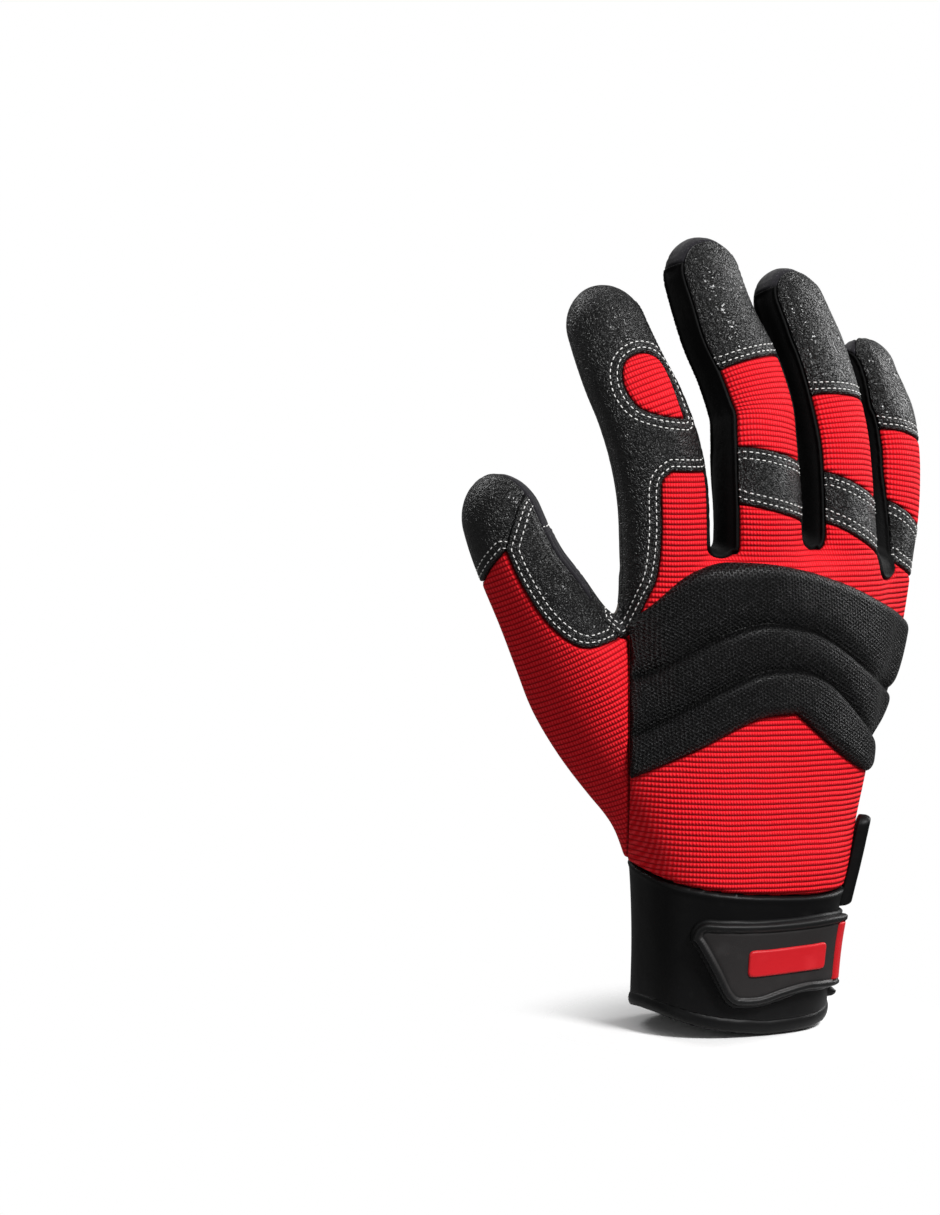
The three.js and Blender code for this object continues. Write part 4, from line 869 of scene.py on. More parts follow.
# %% A material
class Finish:
    def __init__(self, name):
        self.material = bpy.data.materials.new(name)
        self.material.use_nodes = True
        self.tree = self.material.node_tree
        self.tree.nodes.clear()
        self.places = {}

    def node(self, kind, settings=None, values=None, output=0):
        node = self.tree.nodes.new(kind)
        for key, value in (settings or {}).items():
            setattr(node, key, value)
        for key, value in (values or {}).items():
            if isinstance(value, Value):
                self.tree.links.new(value.socket, node.inputs[key])
            else:
                node.inputs[key].default_value = value
        return Value(self, node.outputs[output])

    def attribute(self, name):
        if name not in self.places:
            self.places[name] = self.node("ShaderNodeAttribute", {"attribute_name": name}, output="Fac")
        return self.places[name]

    def place(self):
        """Where a point is on the glove, in millimetres."""
        if "place" not in self.places:
            self.places["place"] = self.node("ShaderNodeTexCoord", output="Object") * 1000.0
        return self.places["place"]

    def noise(self, size, detail=2.0, roughness=0.5):
        """Between 0 and 1, with blotches of about this many millimetres."""
        values = {"Vector": self.place(), "Scale": 1 / size, "Detail": detail, "Roughness": roughness}
        return self.node("ShaderNodeTexNoise", None, values)

    def cells(self, size):
        """The distance to the nearest of many scattered points, about this many millimetres apart."""
        values = {"Vector": self.place(), "Scale": 1 / size}
        return self.node("ShaderNodeTexVoronoi", {"feature": "F1"}, values, "Distance")

    def mix(self, share, a, b):
        colours = [c if isinstance(c, Value) else (*c, 1.0) for c in (a, b)]
        return self.node("ShaderNodeMix", {"data_type": "RGBA"}, {0: share, 6: colours[0], 7: colours[1]}, 2)

    def bump(self, height, depth):
        """Depth in millimetres for a height of 1."""
        values = {"Height": height, "Distance": depth * MM, "Strength": 1.0}
        return self.node("ShaderNodeBump", None, values)

    def surface(self, **sockets):
        """Closes the material: one shader, and its sockets by name."""
        values = {key.replace("_", " "): value for key, value in sockets.items()}
        if not isinstance(values["Base Color"], Value):
            values["Base Color"] = (*values["Base Color"], 1.0)
        shader = self.node("ShaderNodeBsdfPrincipled", None, values)
        self.tree.links.new(shader.socket, self.tree.nodes.new("ShaderNodeOutputMaterial").inputs["Surface"])
        return self.material


# %% [markdown]
# ## The red ribbed knit
# The back is a ribbed fabric: firm ridges 1.6 mm apart that run across the hand, with fine rows of loops on
# Every knit panel carries two facts for its pattern, the millimetres across the ribs and along them,
# so that ribs follow each panel's cut and never slide over it. The loops on the ridges are painted lighter,
# as painted highlight, and the valleys and the gaps between the loops darker, as painted shade. Towards a
# seam, which the fact "edge" tells, the cloth turns in, and its colour is painted darker there as painted
# shade.

# %% Knit
RIB = 1.62
TURN = 2 * math.pi


def make_knit():
    knit = Finish("ribbed red knit")
    sway = (knit.noise(14, 1) - 0.5) * 0.6
    ridge = ((knit.attribute("rib") + sway) * (math.pi / RIB)).sin().abs()
    loops = (knit.attribute("wale") * (TURN / 0.9) + (knit.noise(1.2, 1) - 0.5) * 3).sin() * 0.5 + 0.5
    fuzz = knit.noise(0.35, 3)
    height = ridge + loops * ridge * 0.45 + fuzz * 0.25
    # Painted shade: the valleys between the ridges are coloured a deeper red.
    valley_shade = 1 - ridge.rise(0.05, 0.7)
    worn = knit.noise(22, 3)
    colour = knit.mix(valley_shade * 0.85, (0.95, 0.004, 0.014), (0.2, 0.0, 0.001))
    # Painted highlight: the loops on the ridges are coloured lighter; "worn" adds lighter patches at random.
    colour = knit.mix(loops * (1 - valley_shade) * 0.6 + worn * 0.15, colour, (1.0, 0.05, 0.065))
    # Painted shade: between the loops on the ridges the colour is darker.
    colour = knit.mix((1 - loops) * (1 - valley_shade) * 0.5, colour, (0.5, 0.0, 0.004))
    colour = knit.mix(fuzz.rise(0.5, 0.75) * 0.25, colour, (0.4, 0.0, 0.004))
    edge = knit.attribute("edge")
    # Painted shade: towards a seam the colour is darker.
    colour = knit.mix((1 - edge.rise(0.0, 0.9)) * 0.8, colour, (0.08, 0.0, 0.001))
    return knit.surface(
        Base_Color=colour, Roughness=0.85 - ridge * 0.1, Normal=knit.bump(height, 0.4),
        Specular_IOR_Level=0.08,
    )


# %% [markdown]
# ## Leathers
# The fingertips and strips are a half-glossy synthetic leather whose fine grain is a web of short creases,
# in two sizes, over slow folds. A crease is where a noise passes through its middle. The palm is a warm
# grey brushed suede, and its pads are a black suede whose short fibres carry fine pale and purple specks.

# %% Leather
def make_leather():
    leather = Finish("pebbled black leather")
    wide = ((leather.noise(1.5, 1) - 0.5).abs() * 9).smaller(1.0)
    fine = ((leather.noise(0.8, 1) - 0.5).abs() * 9).smaller(1.0)
    grain = wide * 0.6 + fine * 0.4
    folds = leather.noise(6, 2)
    height = grain + folds * 1.6
    worn = leather.noise(9, 3).rise(0.45, 0.75)
    # Painted shade: the grain's creases are coloured darker than the grain between them.
    colour = leather.mix(grain, (0.0004, 0.0004, 0.0004), (0.006, 0.006, 0.0062))
    return leather.surface(
        Base_Color=colour, Roughness=0.44 - grain * 0.12 + worn * 0.06, Normal=leather.bump(height, 0.42),
        Specular_IOR_Level=0.48,
    )


# %% Suede and grip
def make_suede():
    suede = Finish("grey suede")
    nap = suede.noise(0.5, 4, 0.7)
    stroke = suede.noise(7, 3)
    blotch = suede.noise(28, 2)
    creases = suede.noise(4.5, 2).rise(0.35, 0.65)
    colour = suede.mix(blotch * 0.8, (0.46, 0.405, 0.36), (0.55, 0.495, 0.45))
    colour = suede.mix(nap * 0.5, colour, (0.36, 0.315, 0.28))
    colour = suede.mix(stroke.rise(0.5, 0.8) * 0.3, colour, (0.63, 0.57, 0.52))
    edge = suede.attribute("edge")
    # Painted shade: towards a seam the colour is darker.
    colour = suede.mix((1 - edge.rise(0.0, 1.2)) * 0.6, colour, (0.12, 0.1, 0.09))
    return suede.surface(
        Base_Color=colour, Roughness=0.95, Normal=suede.bump(nap * 0.5 + creases * 1.5, 0.16),
        Sheen_Weight=0.3, Sheen_Roughness=0.5, Specular_IOR_Level=0.2,
    )


def make_grip():
    grip = Finish("speckled black suede")
    nap = grip.noise(0.4, 4, 0.75)
    specks = grip.cells(0.55).rise(0.28, 0.12)
    chosen = grip.noise(1.1, 1).rise(0.5, 0.62)
    hue = grip.noise(2.5, 1)
    pale = grip.mix(hue.rise(0.4, 0.6), (0.16, 0.13, 0.19), (0.2, 0.19, 0.2))
    colour = grip.mix(nap, (0.004, 0.0038, 0.005), (0.018, 0.0165, 0.021))
    colour = grip.mix(specks * chosen * 0.7, colour, pale)
    return grip.surface(
        Base_Color=colour, Roughness=0.9 - nap * 0.1, Normal=grip.bump(nap + specks * 0.3, 0.14),
        Sheen_Weight=0.15, Sheen_Roughness=0.5, Specular_IOR_Level=0.15,
    )


# %% [markdown]
# ## Mesh, neoprene and rubber
# The knuckle guard is a padded air mesh, black, with small round holes 1.2 mm apart, and every second row of
# them stands half a step aside. The holes are painted darker than the threads as painted shade, pale flecks
# on the threads are painted highlights, and in the sewn creases the colour is painted darker as painted
# shade.
# The cuff is neoprene with a smooth jersey face, and the tab is moulded rubber with a satin skin.

# %% Mesh
HOLE = 1.2


def make_mesh():
    mesh = Finish("black air mesh")
    across, up = mesh.attribute("rib"), mesh.attribute("wale")
    row = up / (HOLE * 0.866)
    shift = (row * 0.5).fraction().rise(0.499, 0.501) * 0.5
    x = ((across / HOLE + shift).fraction() - 0.5) * HOLE
    y = (row.fraction() - 0.5) * HOLE * 0.866
    radius = (x * x + y * y) ** 0.5
    # Painted shade: the holes are coloured darker than the walls between them.
    wall = radius.rise(0.2, 0.5)
    threads = mesh.noise(0.3, 2).rise(0.48, 0.66)
    # Painted shade: the fact "crease" is 1 in the sewn creases, and there the colour is darker.
    smooth = 1 - mesh.attribute("crease")
    colour = mesh.mix(wall * smooth, (0.0002, 0.0002, 0.0002), (0.002, 0.002, 0.0021))
    # Painted highlight: pale flecks on the threads, away from the holes and the creases.
    colour = mesh.mix(threads * wall * smooth * 0.8, colour, (0.09, 0.09, 0.093))
    return mesh.surface(
        Base_Color=colour, Roughness=0.5 - wall * 0.14, Normal=mesh.bump(wall + threads * 0.7, 0.8),
        Specular_IOR_Level=0.2,
    )


# %% Side fabric and neoprene
def make_side_fabric():
    side = Finish("plain black side fabric")
    weave = side.noise(0.35, 2)
    colour = side.mix(weave, (0.001, 0.001, 0.001), (0.004, 0.004, 0.0042))
    return side.surface(
        Base_Color=colour, Roughness=0.7, Normal=side.bump(weave + side.noise(5, 2) * 2, 0.14),
        Specular_IOR_Level=0.12,
    )


def make_neoprene():
    neoprene = Finish("smooth black neoprene")
    jersey = neoprene.noise(0.3, 2)
    dents = neoprene.noise(13, 2)
    dust = neoprene.noise(6, 4).rise(0.55, 0.8)
    colour = neoprene.mix(jersey, (0.0015, 0.0015, 0.0016), (0.0042, 0.0042, 0.0045))
    colour = neoprene.mix(dust * 0.2, colour, (0.016, 0.0155, 0.0155))
    return neoprene.surface(
        Base_Color=colour, Roughness=0.46 + dust * 0.1, Normal=neoprene.bump(jersey * 0.3 + dents * 3, 0.14),
        Specular_IOR_Level=0.16,
    )


# %% Rubber and thread
def make_rubber(name, deep, pale, rough, rim=None):
    rubber = Finish(name)
    skin_grain = rubber.noise(0.4, 3)
    scuffs = rubber.noise(7, 4).rise(0.5, 0.8)
    colour = rubber.mix(scuffs * 0.5 + skin_grain * 0.2, deep, pale)
    if rim:
        edge = rubber.attribute("edge")
        sewn = edge.rise(2.35, 2.6) * (1 - edge.rise(2.8, 3.05))
        colour = rubber.mix((1 - edge.rise(1.7, 2.3)).larger(sewn * 0.7), colour, rim)
    return rubber.surface(
        Base_Color=colour, Roughness=rough + scuffs * 0.1, Normal=rubber.bump(skin_grain, 0.05),
        Specular_IOR_Level=0.3,
    )


def make_thread(name, dark, light):
    thread = Finish(name)
    twist = (thread.attribute("rib") * (TURN / 0.45)).sin() * 0.5 + 0.5
    colour = thread.mix(twist, dark, light)
    return thread.surface(
        Base_Color=colour, Roughness=0.65, Normal=thread.bump(twist, 0.08), Sheen_Weight=0.2,
    )


# %% Every finish by its slot
finishes = {
    "knit": make_knit(),
    "leather": make_leather(),
    "guard_mesh": make_mesh(),
    "side_fabric": make_side_fabric(),
    "suede": make_suede(),
    "grip": make_grip(),
    "cuff_neoprene": make_neoprene(),
    "tab_rubber": make_rubber("dark tab rubber", (0.018, 0.016, 0.016), (0.032, 0.03, 0.03), 0.5,
                              (0.0035, 0.0035, 0.0037)),
    "red_rubber": make_rubber("red rubber", (0.56, 0.008, 0.014), (0.66, 0.02, 0.028), 0.45),
    "thread": make_thread("pale thread", (0.8, 0.79, 0.77), (1.0, 0.99, 0.97)),
}
print("Materials:", ", ".join(finishes))

# %% [markdown]
# ## From sheet to body
# A panel is its sheet lifted off the skin by a height that falls away at the seams, as cloth does where a
# seam pulls it in, and a flange that turns inwards under the edge.

# %% Make a piece
def piece(name, points, faces, slot, facts=None):
    mesh = bpy.data.meshes.new(name)
    mesh.from_pydata((points * MM).tolist(), [], faces.tolist())
    mesh.update()
    for fact, values in (facts or {}).items():
        attribute = mesh.attributes.new(fact, "FLOAT", "POINT")
        attribute.data.foreach_set("value", np.asarray(values, np.float32))
    mesh.polygons.foreach_set("use_smooth", np.ones(len(mesh.polygons), bool))
    mesh.materials.append(finishes[slot])
    thing = bpy.data.objects.new(name, mesh)
    bpy.context.scene.collection.objects.link(thing)
    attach(thing, "root")
    return thing


def cut_from(points, faces, layers=1):
    """Works out a piece's flat area, counting what is turned under once, and its size; nothing uses them."""
    a, b, c = (points[faces[:, k]] * MM for k in range(3))
    area = np.linalg.norm(np.cross(b - a, c - a), axis=1).sum() / 2 / layers
    centred = (points - points.mean(0)) * MM
    extents = np.ptp(centred @ np.linalg.svd(centred, full_matrices=False)[2].T, axis=0)


# %% Lift a panel
def pillow(distance, reach):
    """From 0 at a seam to 1, as a quarter circle."""
    share = np.clip(distance / reach, 0, 1)
    return np.sqrt(1 - (1 - share) ** 2)


def flanged(sheet, outward, height, depth=1.1):
    """The lifted sheet and a flange under its rim: points, faces, and where the flange's points come from."""
    top = sheet.points + height[:, None] * outward
    rim = sheet.rim()
    used, place = np.unique(rim, return_inverse=True)
    under = place.reshape(-1, 2) + len(top)
    foot = sheet.points[used] - depth * outward[used]
    walls_ab = np.stack([rim[:, 1], rim[:, 0], under[:, 0]], axis=1)
    walls_bc = np.stack([rim[:, 1], under[:, 0], under[:, 1]], axis=1)
    faces = np.concatenate([sheet.faces, walls_ab, walls_bc])
    return np.concatenate([top, foot]), faces, np.concatenate([np.arange(len(top)), used])


TUCK = 2.4


def under_cuff(sheet):
    """1 where the skin runs under the cuff's edge, 0 above it."""
    above = sheet["z"] - wrist_seam(sheet)
    return 1 - pillow(np.clip(above - 0.2, 0, 2), 1.6)


lifted = {}


def panel(node, sheet, slot, lift, facts=None, relief=None, fill=None):
    """A node's piece. Lift: its height at a seam, its full height, and how far in that is reached."""
    low, high, reach = lift
    outward = unit(slope(sheet.points))
    edge = sheet.edge_distance()
    height = low + (high - low) * pillow(edge, reach)
    if relief is not None:
        height = height + relief(sheet, edge)
    height = height - TUCK * under_cuff(sheet)
    points, faces, source = flanged(sheet, outward, height)
    lifted[node] = (sheet, points[:len(sheet.points)], outward, edge)
    given = {"edge": edge, **(facts(sheet) if facts else {})}
    made = piece("sewn_" + node, points, faces, slot, {k: v[source] for k, v in given.items()})
    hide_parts(node)
    if fill is None:
        cut_from(points, faces)


# %% The directions of ribs and rows
def across_hand(sheet):
    return {"rib": sheet["z"] + 0.04 * sheet["s"], "wale": sheet["s"]}


THUMB_RISE = math.radians(25)


def across_thumb(sheet):
    x, z = sheet["x"], sheet["z"]
    return {
        "rib": z * math.cos(THUMB_RISE) - x * math.sin(THUMB_RISE),
        "wale": x * math.cos(THUMB_RISE) + z * math.sin(THUMB_RISE),
    }


def along_finger(name):
    return lambda sheet: {"rib": sheet[f"{name}_along"], "wale": sheet[f"{name}_u"] * sheet[f"{name}_hw"]}


# %% Cut the panels
SLIT_BACK, SLIT_WIDTH, SLIT_TOP = PALM_THICK * 0.16, 3, CUFF_HEIGHT * 1.22
SLIT_SIDE = 10
UNDER_GUARD = 5


def slit_field(sheet):
    """Negative in the slit on the little finger's side."""
    tip = np.clip((SLIT_TOP - sheet["z"]) / SLIT_WIDTH / 2, 0, 1)
    inside = np.abs(sheet["b"] - SLIT_BACK) - SLIT_WIDTH / 2 * tip
    return np.max([inside, SLIT_SIDE - sheet["s"], sheet["z"] - SLIT_TOP], axis=0)


guard_outline = from_front(GUARD)
skin.facts["facing"] = unit(slope(skin.points)) @ BACK
covered = skin.cut(above_cuff(skin))
cuts = {name: covered.cut(field(covered)).largest() for name, field in PIECES.items()}
under_guard = guard_outline(cuts["back_panel"]) + UNDER_GUARD
cuts["back_panel"] = cuts["back_panel"].cut(-under_guard)
for name in ("back_panel", "palm_panel"):
    cuts[name] = cuts[name].cut(-slit_field(cuts[name])).largest()
print("Panels cut:", len(cuts))

# %% Sew the panels
ROWS = (1.6, 3.7)
ROW_DEPTH, ROW_WIDTH = 0.16, 0.5
WELT_IN, WELT_HIGH, WELT_WIDTH = 0.55, 0.7, 0.45
LIFT = {
    "knit": (-0.7, 0.35, 1.8),
    "leather": (-0.5, 0.6, 0.8),
    "side_fabric": (-0.6, 0.0, 0.5),
    "suede": (-0.5, 0.3, 1.4),
    "grip": (-0.4, 0.4, 1.2),
    "guard_mesh": (0.2, 3.3, 3.6),
}


def sewn_down(sheet, edge):
    """Two rows of stitches pull the leather in along its edge."""
    return -ROW_DEPTH * sum(np.exp(-(((edge - row) / ROW_WIDTH) ** 2)) for row in ROWS)


def welt(sheet, edge):
    """A corded seam: the edge of the side fabric is rolled over a cord."""
    return WELT_HIGH * np.exp(-(((edge - WELT_IN) / WELT_WIDTH) ** 2))


KNITS = {"back_panel": across_hand, "thumb_panel": across_thumb, "index_knit": along_finger("index")}
KNITS.update({f"{name}_knit": along_finger(name) for name in FINGER_SEAMS})
for name, facts in KNITS.items():
    sheet = cuts[name] if name.endswith("panel") else cuts[name].finer()
    panel(name, sheet, "knit", LIFT["knit"], facts)
LEATHERS = ["index_leather", "thumb_cap", "thumb_leather"]
LEATHERS += [f"{name}_{part}" for name in FINGER_SEAMS for part in ("strip", "tip")]
for name in LEATHERS:
    panel(name, cuts[name].finer(), "leather", LIFT["leather"], None, sewn_down)
for name, *_ in GAPS:
    panel(name, cuts[name].finer(), "side_fabric", LIFT["side_fabric"], None, welt)
panel("palm_panel", cuts["palm_panel"], "suede", LIFT["suede"])
for name in PALM_TIPS:
    panel(f"{name}_palm_tip", cuts[f"{name}_palm_tip"], "grip", LIFT["grip"], None, sewn_down)
print("Panels sewn:", len(lifted))

# %% [markdown]
# ## Pads and the knuckle guard
# The pads of the palm are a second layer of grip, filled with foam between the rows of stitches round their
# edge and quilted down along inner lines. The guard is one thick piece of foam under air mesh, with two
# channels sewn across it. Each is a sheet again, lifted higher and pressed in along its own lines, so no
# simulation is needed.


# %% Lines on the pattern
def smooth_line(rows):
    rows = np.array(rows) * (PALM_WIDTH, PALM_TOP)
    return spline(rows, np.linspace(0, len(rows) - 1, 8 * len(rows)))


def above_line(place, line):
    """The distance to an open line, positive above it."""
    best, above = np.full(len(place), np.inf), np.zeros(len(place))
    for a, b in zip(line[:-1], line[1:]):
        share = np.clip(((place - a) @ (b - a)) / ((b - a) @ (b - a)), 0, 1)
        offset = place - a - share[:, None] * (b - a)
        distance = np.hypot(*offset.T)
        closer = distance < best
        best[closer] = distance[closer]
        above[closer] = ((b - a)[0] * offset[:, 1] - (b - a)[1] * offset[:, 0])[closer]
    return best * np.where(above > 0, 1, -1)


# %% Where the pads lie
THUMB_PATCH = dict(start=0.3, end=0.62, side=0.05, high=0.6)
THUMB_EDGE = dict(start=0.58, end=0.84, side=0.62, high=0.6)


def faces_palm(sheet):
    return (sheet["facing"] + 0.2) * 6


thumb = limbs["thumb"]


def thumb_band(start, end, side, high):
    return band("thumb", OPEN, high, (side, 1.2), start * thumb.length, end * thumb.length)


on_patch = both(
    either(thumb_band(**THUMB_PATCH), thumb_band(**THUMB_EDGE)),
    without(lambda sheet: -back_side(sheet), from_palm(INDEX_PATCH)),
    lambda sheet: sheet["thumb_far"] - 1.6,
)
PADS = {
    "palm_pad": (both(faces_palm, from_palm(PALM_PAD)), 1.2),
    "heel_pad": (both(faces_palm, from_palm(HEEL_PAD)), 1.2),
    "index_patch": (both(lambda sheet: -back_side(sheet), from_palm(INDEX_PATCH)), 0.7),
    "thumb_patch": (on_patch, 0.7),
}
print("Pads:", ", ".join(PADS))

# %% Pads
SWELL, SWELL_FROM, SWELL_REACH, QUILT_WIDTH = 1.3, 4.0, 3.0, 1.6


def quilting(sheet):
    """The distances to the inner lines, negative inside each."""
    place = palm_view(sheet)
    return [to_outline(place, smooth_line(rows)) for rows in QUILTING]


def pad_relief(sheet, edge):
    """Flat along the two rows of stitches, swollen beyond them, and quilted down along the inner lines."""
    quilt = np.min(np.abs(quilting(sheet)), axis=0)
    swell = SWELL * pillow(np.clip(edge - SWELL_FROM, 0, SWELL_REACH), SWELL_REACH)
    return sewn_down(sheet, edge) + swell * (1 - np.exp(-((quilt / QUILT_WIDTH) ** 2)))


PAD_FOOT, PAD_ROUND = 0.1, 0.9
for name, (field, high) in PADS.items():
    sheet = covered.cut(field(covered)).largest()
    thick = name.endswith("_pad")
    panel(name, sheet.finer(), "grip", (PAD_FOOT, high, PAD_ROUND), None,
          pad_relief if thick else sewn_down, 0.6 if thick else None)
    print(name, len(sheet.faces), "triangles before they are made finer")

# %% The knuckle guard
GROOVE_DEPTH, GROOVE_ABOVE, GROOVE_BELOW = 3.4, 1.9, 0.9
groove_lines = [smooth_line(rows) for rows in GROOVES]


def guard_relief(sheet, edge):
    """Each channel is a crease: the foam above it rises slowly out of it, the foam below steeply."""
    place = front_view(sheet)
    depth = 0
    for line in groove_lines:
        above = above_line(place, line)
        slopes = np.where(above > 0, np.exp(-above / GROOVE_ABOVE), np.exp(above / GROOVE_BELOW))
        depth = depth + GROOVE_DEPTH * slopes
    turned = np.clip((0.85 - sheet["facing"]) / 0.4, 0, 1)
    sunk = depth * np.clip(edge / 2, 0, 1) * (1 - 0.3 * turned) + 1.3 * turned * pillow(edge, 3)
    return -np.minimum(sunk, np.maximum(3.1 * pillow(edge, 3.6) - 0.5, 0))


def guard_facts(sheet):
    place = front_view(sheet)
    near = np.min([np.abs(above_line(place, line)) for line in groove_lines], axis=0)
    # The fact "crease" only darkens the mesh's colour there, as painted shade.
    return {**across_hand(sheet), "crease": np.exp(-((near / 1.1) ** 2))}


on_guard = both(guard_outline, band("palm", (0.05, 0.05), sides=(-1.3, 1.3)))
guard = covered.cut(on_guard(covered)).largest()
panel("knuckle_guard", guard.finer(), "guard_mesh", LIFT["guard_mesh"], guard_facts, guard_relief, 0.8)
print("Guard", len(guard.faces), "triangles before they are made finer")

# %% [markdown]
# ## Stitches
# Pale thread holds the leathers and the pads down in double rows. A row is the line at one distance from a
# seam. Along it every stitch is a short, slightly arched length of thread whose two ends go down into the
# leather.


# %% A row
def line_where(sheet, level):
    """Chains along a level's zero line: pairs of points of the sheet, and the share between each pair."""
    level = np.where(np.abs(level) < 1e-4, 1e-4, level)
    inside = level[sheet.faces] < 0
    count = inside.sum(1)
    mixed = (count == 1) | (count == 2)
    turn = np.where(count == 1, inside.argmax(1), inside.argmin(1))[mixed]
    turned = np.take_along_axis(sheet.faces[mixed], (turn[:, None] + np.arange(3)) % 3, axis=1)
    pairs = np.sort(np.concatenate([turned[:, [0, 1]], turned[:, [0, 2]]]), axis=1)
    ends, which = np.unique(pairs, axis=0, return_inverse=True)
    beside = [[] for _ in ends]
    for a, b in zip(*np.split(which.reshape(-1), 2)):
        beside[a].append(int(b))
        beside[b].append(int(a))
    chains, seen = [], set()
    for start in sorted(range(len(ends)), key=lambda k: len(beside[k])):
        chain, k = [], start
        while k is not None and k not in seen:
            seen.add(k)
            chain.append(k)
            k = next((other for other in beside[k] if other not in seen), None)
        if len(chain) > 8:
            chains.append(chain + [start] if start in beside[chain[-1]] else chain)
    share = level[ends[:, 0]] / (level[ends[:, 0]] - level[ends[:, 1]])
    return ends, share[:, None], chains


# %% A stitch
PITCH, STITCH, THREAD = 2.0, 1.5, 0.18
RISE = np.array([-0.32, 0.06, 0.12, 0.06, -0.32])
TURNS = np.linspace(0, TURN, 7)[:-1, None]


def stitches_on(line, up):
    """The points of every stitch on one chain: stitch, place along it, place round it."""
    for _ in range(10):
        line[1:-1] = (line[:-2] + 2 * line[1:-1] + line[2:]) / 4
    run = np.concatenate([[0], np.cumsum(np.linalg.norm(np.diff(line, axis=0), axis=1))])
    count = int(run[-1] / PITCH)
    centres = (np.arange(count) + 0.5) * run[-1] / max(count, 1)
    at = centres[:, None] + np.linspace(-0.5, 0.5, 5) * STITCH
    middle = np.stack([np.interp(at, run, line[:, k]) for k in range(3)], axis=-1)
    normal = unit(np.stack([np.interp(at, run, up[:, k]) for k in range(3)], axis=-1))
    if count == 0:
        return np.zeros((0, 5, 6, 3))
    side = unit(np.cross(np.gradient(middle, axis=1) + 1e-9, normal))
    middle = middle + RISE[:, None] * normal
    round_it = np.cos(TURNS) * side[:, :, None] + np.sin(TURNS) * normal[:, :, None]
    return middle[:, :, None] + THREAD * round_it


def one_stitch():
    faces = []
    for ring in range(4):
        for k in range(6):
            a, b = 6 * ring + k, 6 * ring + (k + 1) % 6
            faces += [(a, b, b + 6), (a, b + 6, a + 6)]
    return faces + [(0, k + 1, k) for k in range(1, 5)] + [(24, 24 + k, 25 + k) for k in range(1, 5)]


# %% Sew
def sew(name, rows):
    """One piece of thread for all the rows of a group: node and level for each."""
    found = []
    for node, level in rows:
        sheet, points, outward, _ = lifted[node]
        ends, share, chains = line_where(sheet, level)
        for chain in chains:
            line = (points[ends[:, 0]] * (1 - share) + points[ends[:, 1]] * share)[chain]
            up = (outward[ends[:, 0]] * (1 - share) + outward[ends[:, 1]] * share)[chain]
            found.append(stitches_on(line, up))
    found = np.concatenate(found)
    faces = np.array(one_stitch()) + 30 * np.arange(len(found))[:, None, None]
    along = np.tile(np.repeat(np.linspace(0, STITCH, 5), 6), len(found))
    piece(name, found.reshape(-1, 3), faces.reshape(-1, 3), "thread", {"rib": along})
    print(name, len(found), "stitches")


# %% Which edges are sewn
ON_EDGE = 0.6


def next_to(*others):
    return lambda facts: np.min([PIECES[other](facts) for other in others], axis=0) < ON_EDGE


def on_lines(*outlines):
    return lambda facts: np.min([np.abs(from_front(line)(facts)) for line in outlines], axis=0) < ON_EDGE


def double_row(node, chosen):
    """Two rows along the part of a piece's edge that a test picks."""
    away = lifted[node][0].edge_distance(chosen)
    return [(node, away - row) for row in ROWS]


# %% Rows on the back


SEWN = {
    "index_leather": on_lines(INDEX_LEATHER, INDEX_WINDOW),
    "thumb_leather": on_lines(THUMB_LEATHER),
    "thumb_cap": lambda facts: on_lines(THUMB_CAP)(facts) & (np.abs(from_front(THUMB_LEATHER)(facts)) > 1),
}
for name in FINGER_SEAMS:
    SEWN[f"{name}_tip"] = next_to(f"{name}_knit")
    SEWN[f"{name}_strip"] = next_to(f"{name}_knit", "back_panel")
back_rows = []
for node, chosen in SEWN.items():
    back_rows += double_row(node, chosen)
sew("stitches_of_the_back", back_rows)

# %% Rows on the palm
palm_rows = []
for name in PALM_TIPS:
    palm_rows += double_row(f"{name}_palm_tip", next_to("palm_panel"))
for node in PADS:
    patch_end = 0.5 if node == "thumb_patch" else ANYWHERE
    palm_rows += double_row(node, lambda facts: (back_side(facts) > 0.8) & (facts["thumb_u"] < patch_end))
palm_rows += [("palm_pad", level) for level in quilting(lifted["palm_pad"][0])]
sew("stitches_of_the_palm", palm_rows)

# %% [markdown]
# ## Round the wrist
# The cuff, its strap and the tab are bands bent round the wrist. They are drawn flat, as they are cut: one
# direction is the length round the wrist, the other the height. Bending the drawing gives the place in
# space, and the edge distance measured in the flat gives rims, recesses and folds.

# %% The flat of the wrist
CUFF_PROUD, CUFF_WALL = 0.8, 3
turns = np.linspace(-200, 460, 2641)


def on_wrist(turn, height, grow):
    """A point on the cuff: turn in degrees from the back's middle, height, and how far outside the hand."""
    along = np.interp(height, palm.centre[:, 2], palm.along)
    angle = np.radians(turn)
    half_wide = palm.mix(palm.half_wide, along) + grow
    half_thick = palm.mix(palm.half_thick, along) + grow
    sine, cosine = np.sin(angle), np.cos(angle)
    bend = 2 / palm.power
    side = half_wide * np.sign(sine) * np.abs(sine) ** bend
    out = half_thick * np.sign(cosine) * np.abs(cosine) ** bend
    centre = palm.mix(palm.centre, along)
    across = centre @ ACROSS + side
    return on_hand(across, centre @ BACK + out, height)


ring_line = on_wrist(turns, np.full(len(turns), CUFF_HEIGHT / 2), np.full(len(turns), CUFF_PROUD))
lengths = np.concatenate([[0], np.cumsum(np.linalg.norm(np.diff(ring_line, axis=0), axis=1))])
lengths -= np.interp(0, turns, lengths)
ROUND = np.interp(360, turns, lengths)
print("The cuff is", round(ROUND), "mm round")


def length_at(turn):
    return np.interp(turn, turns, lengths)


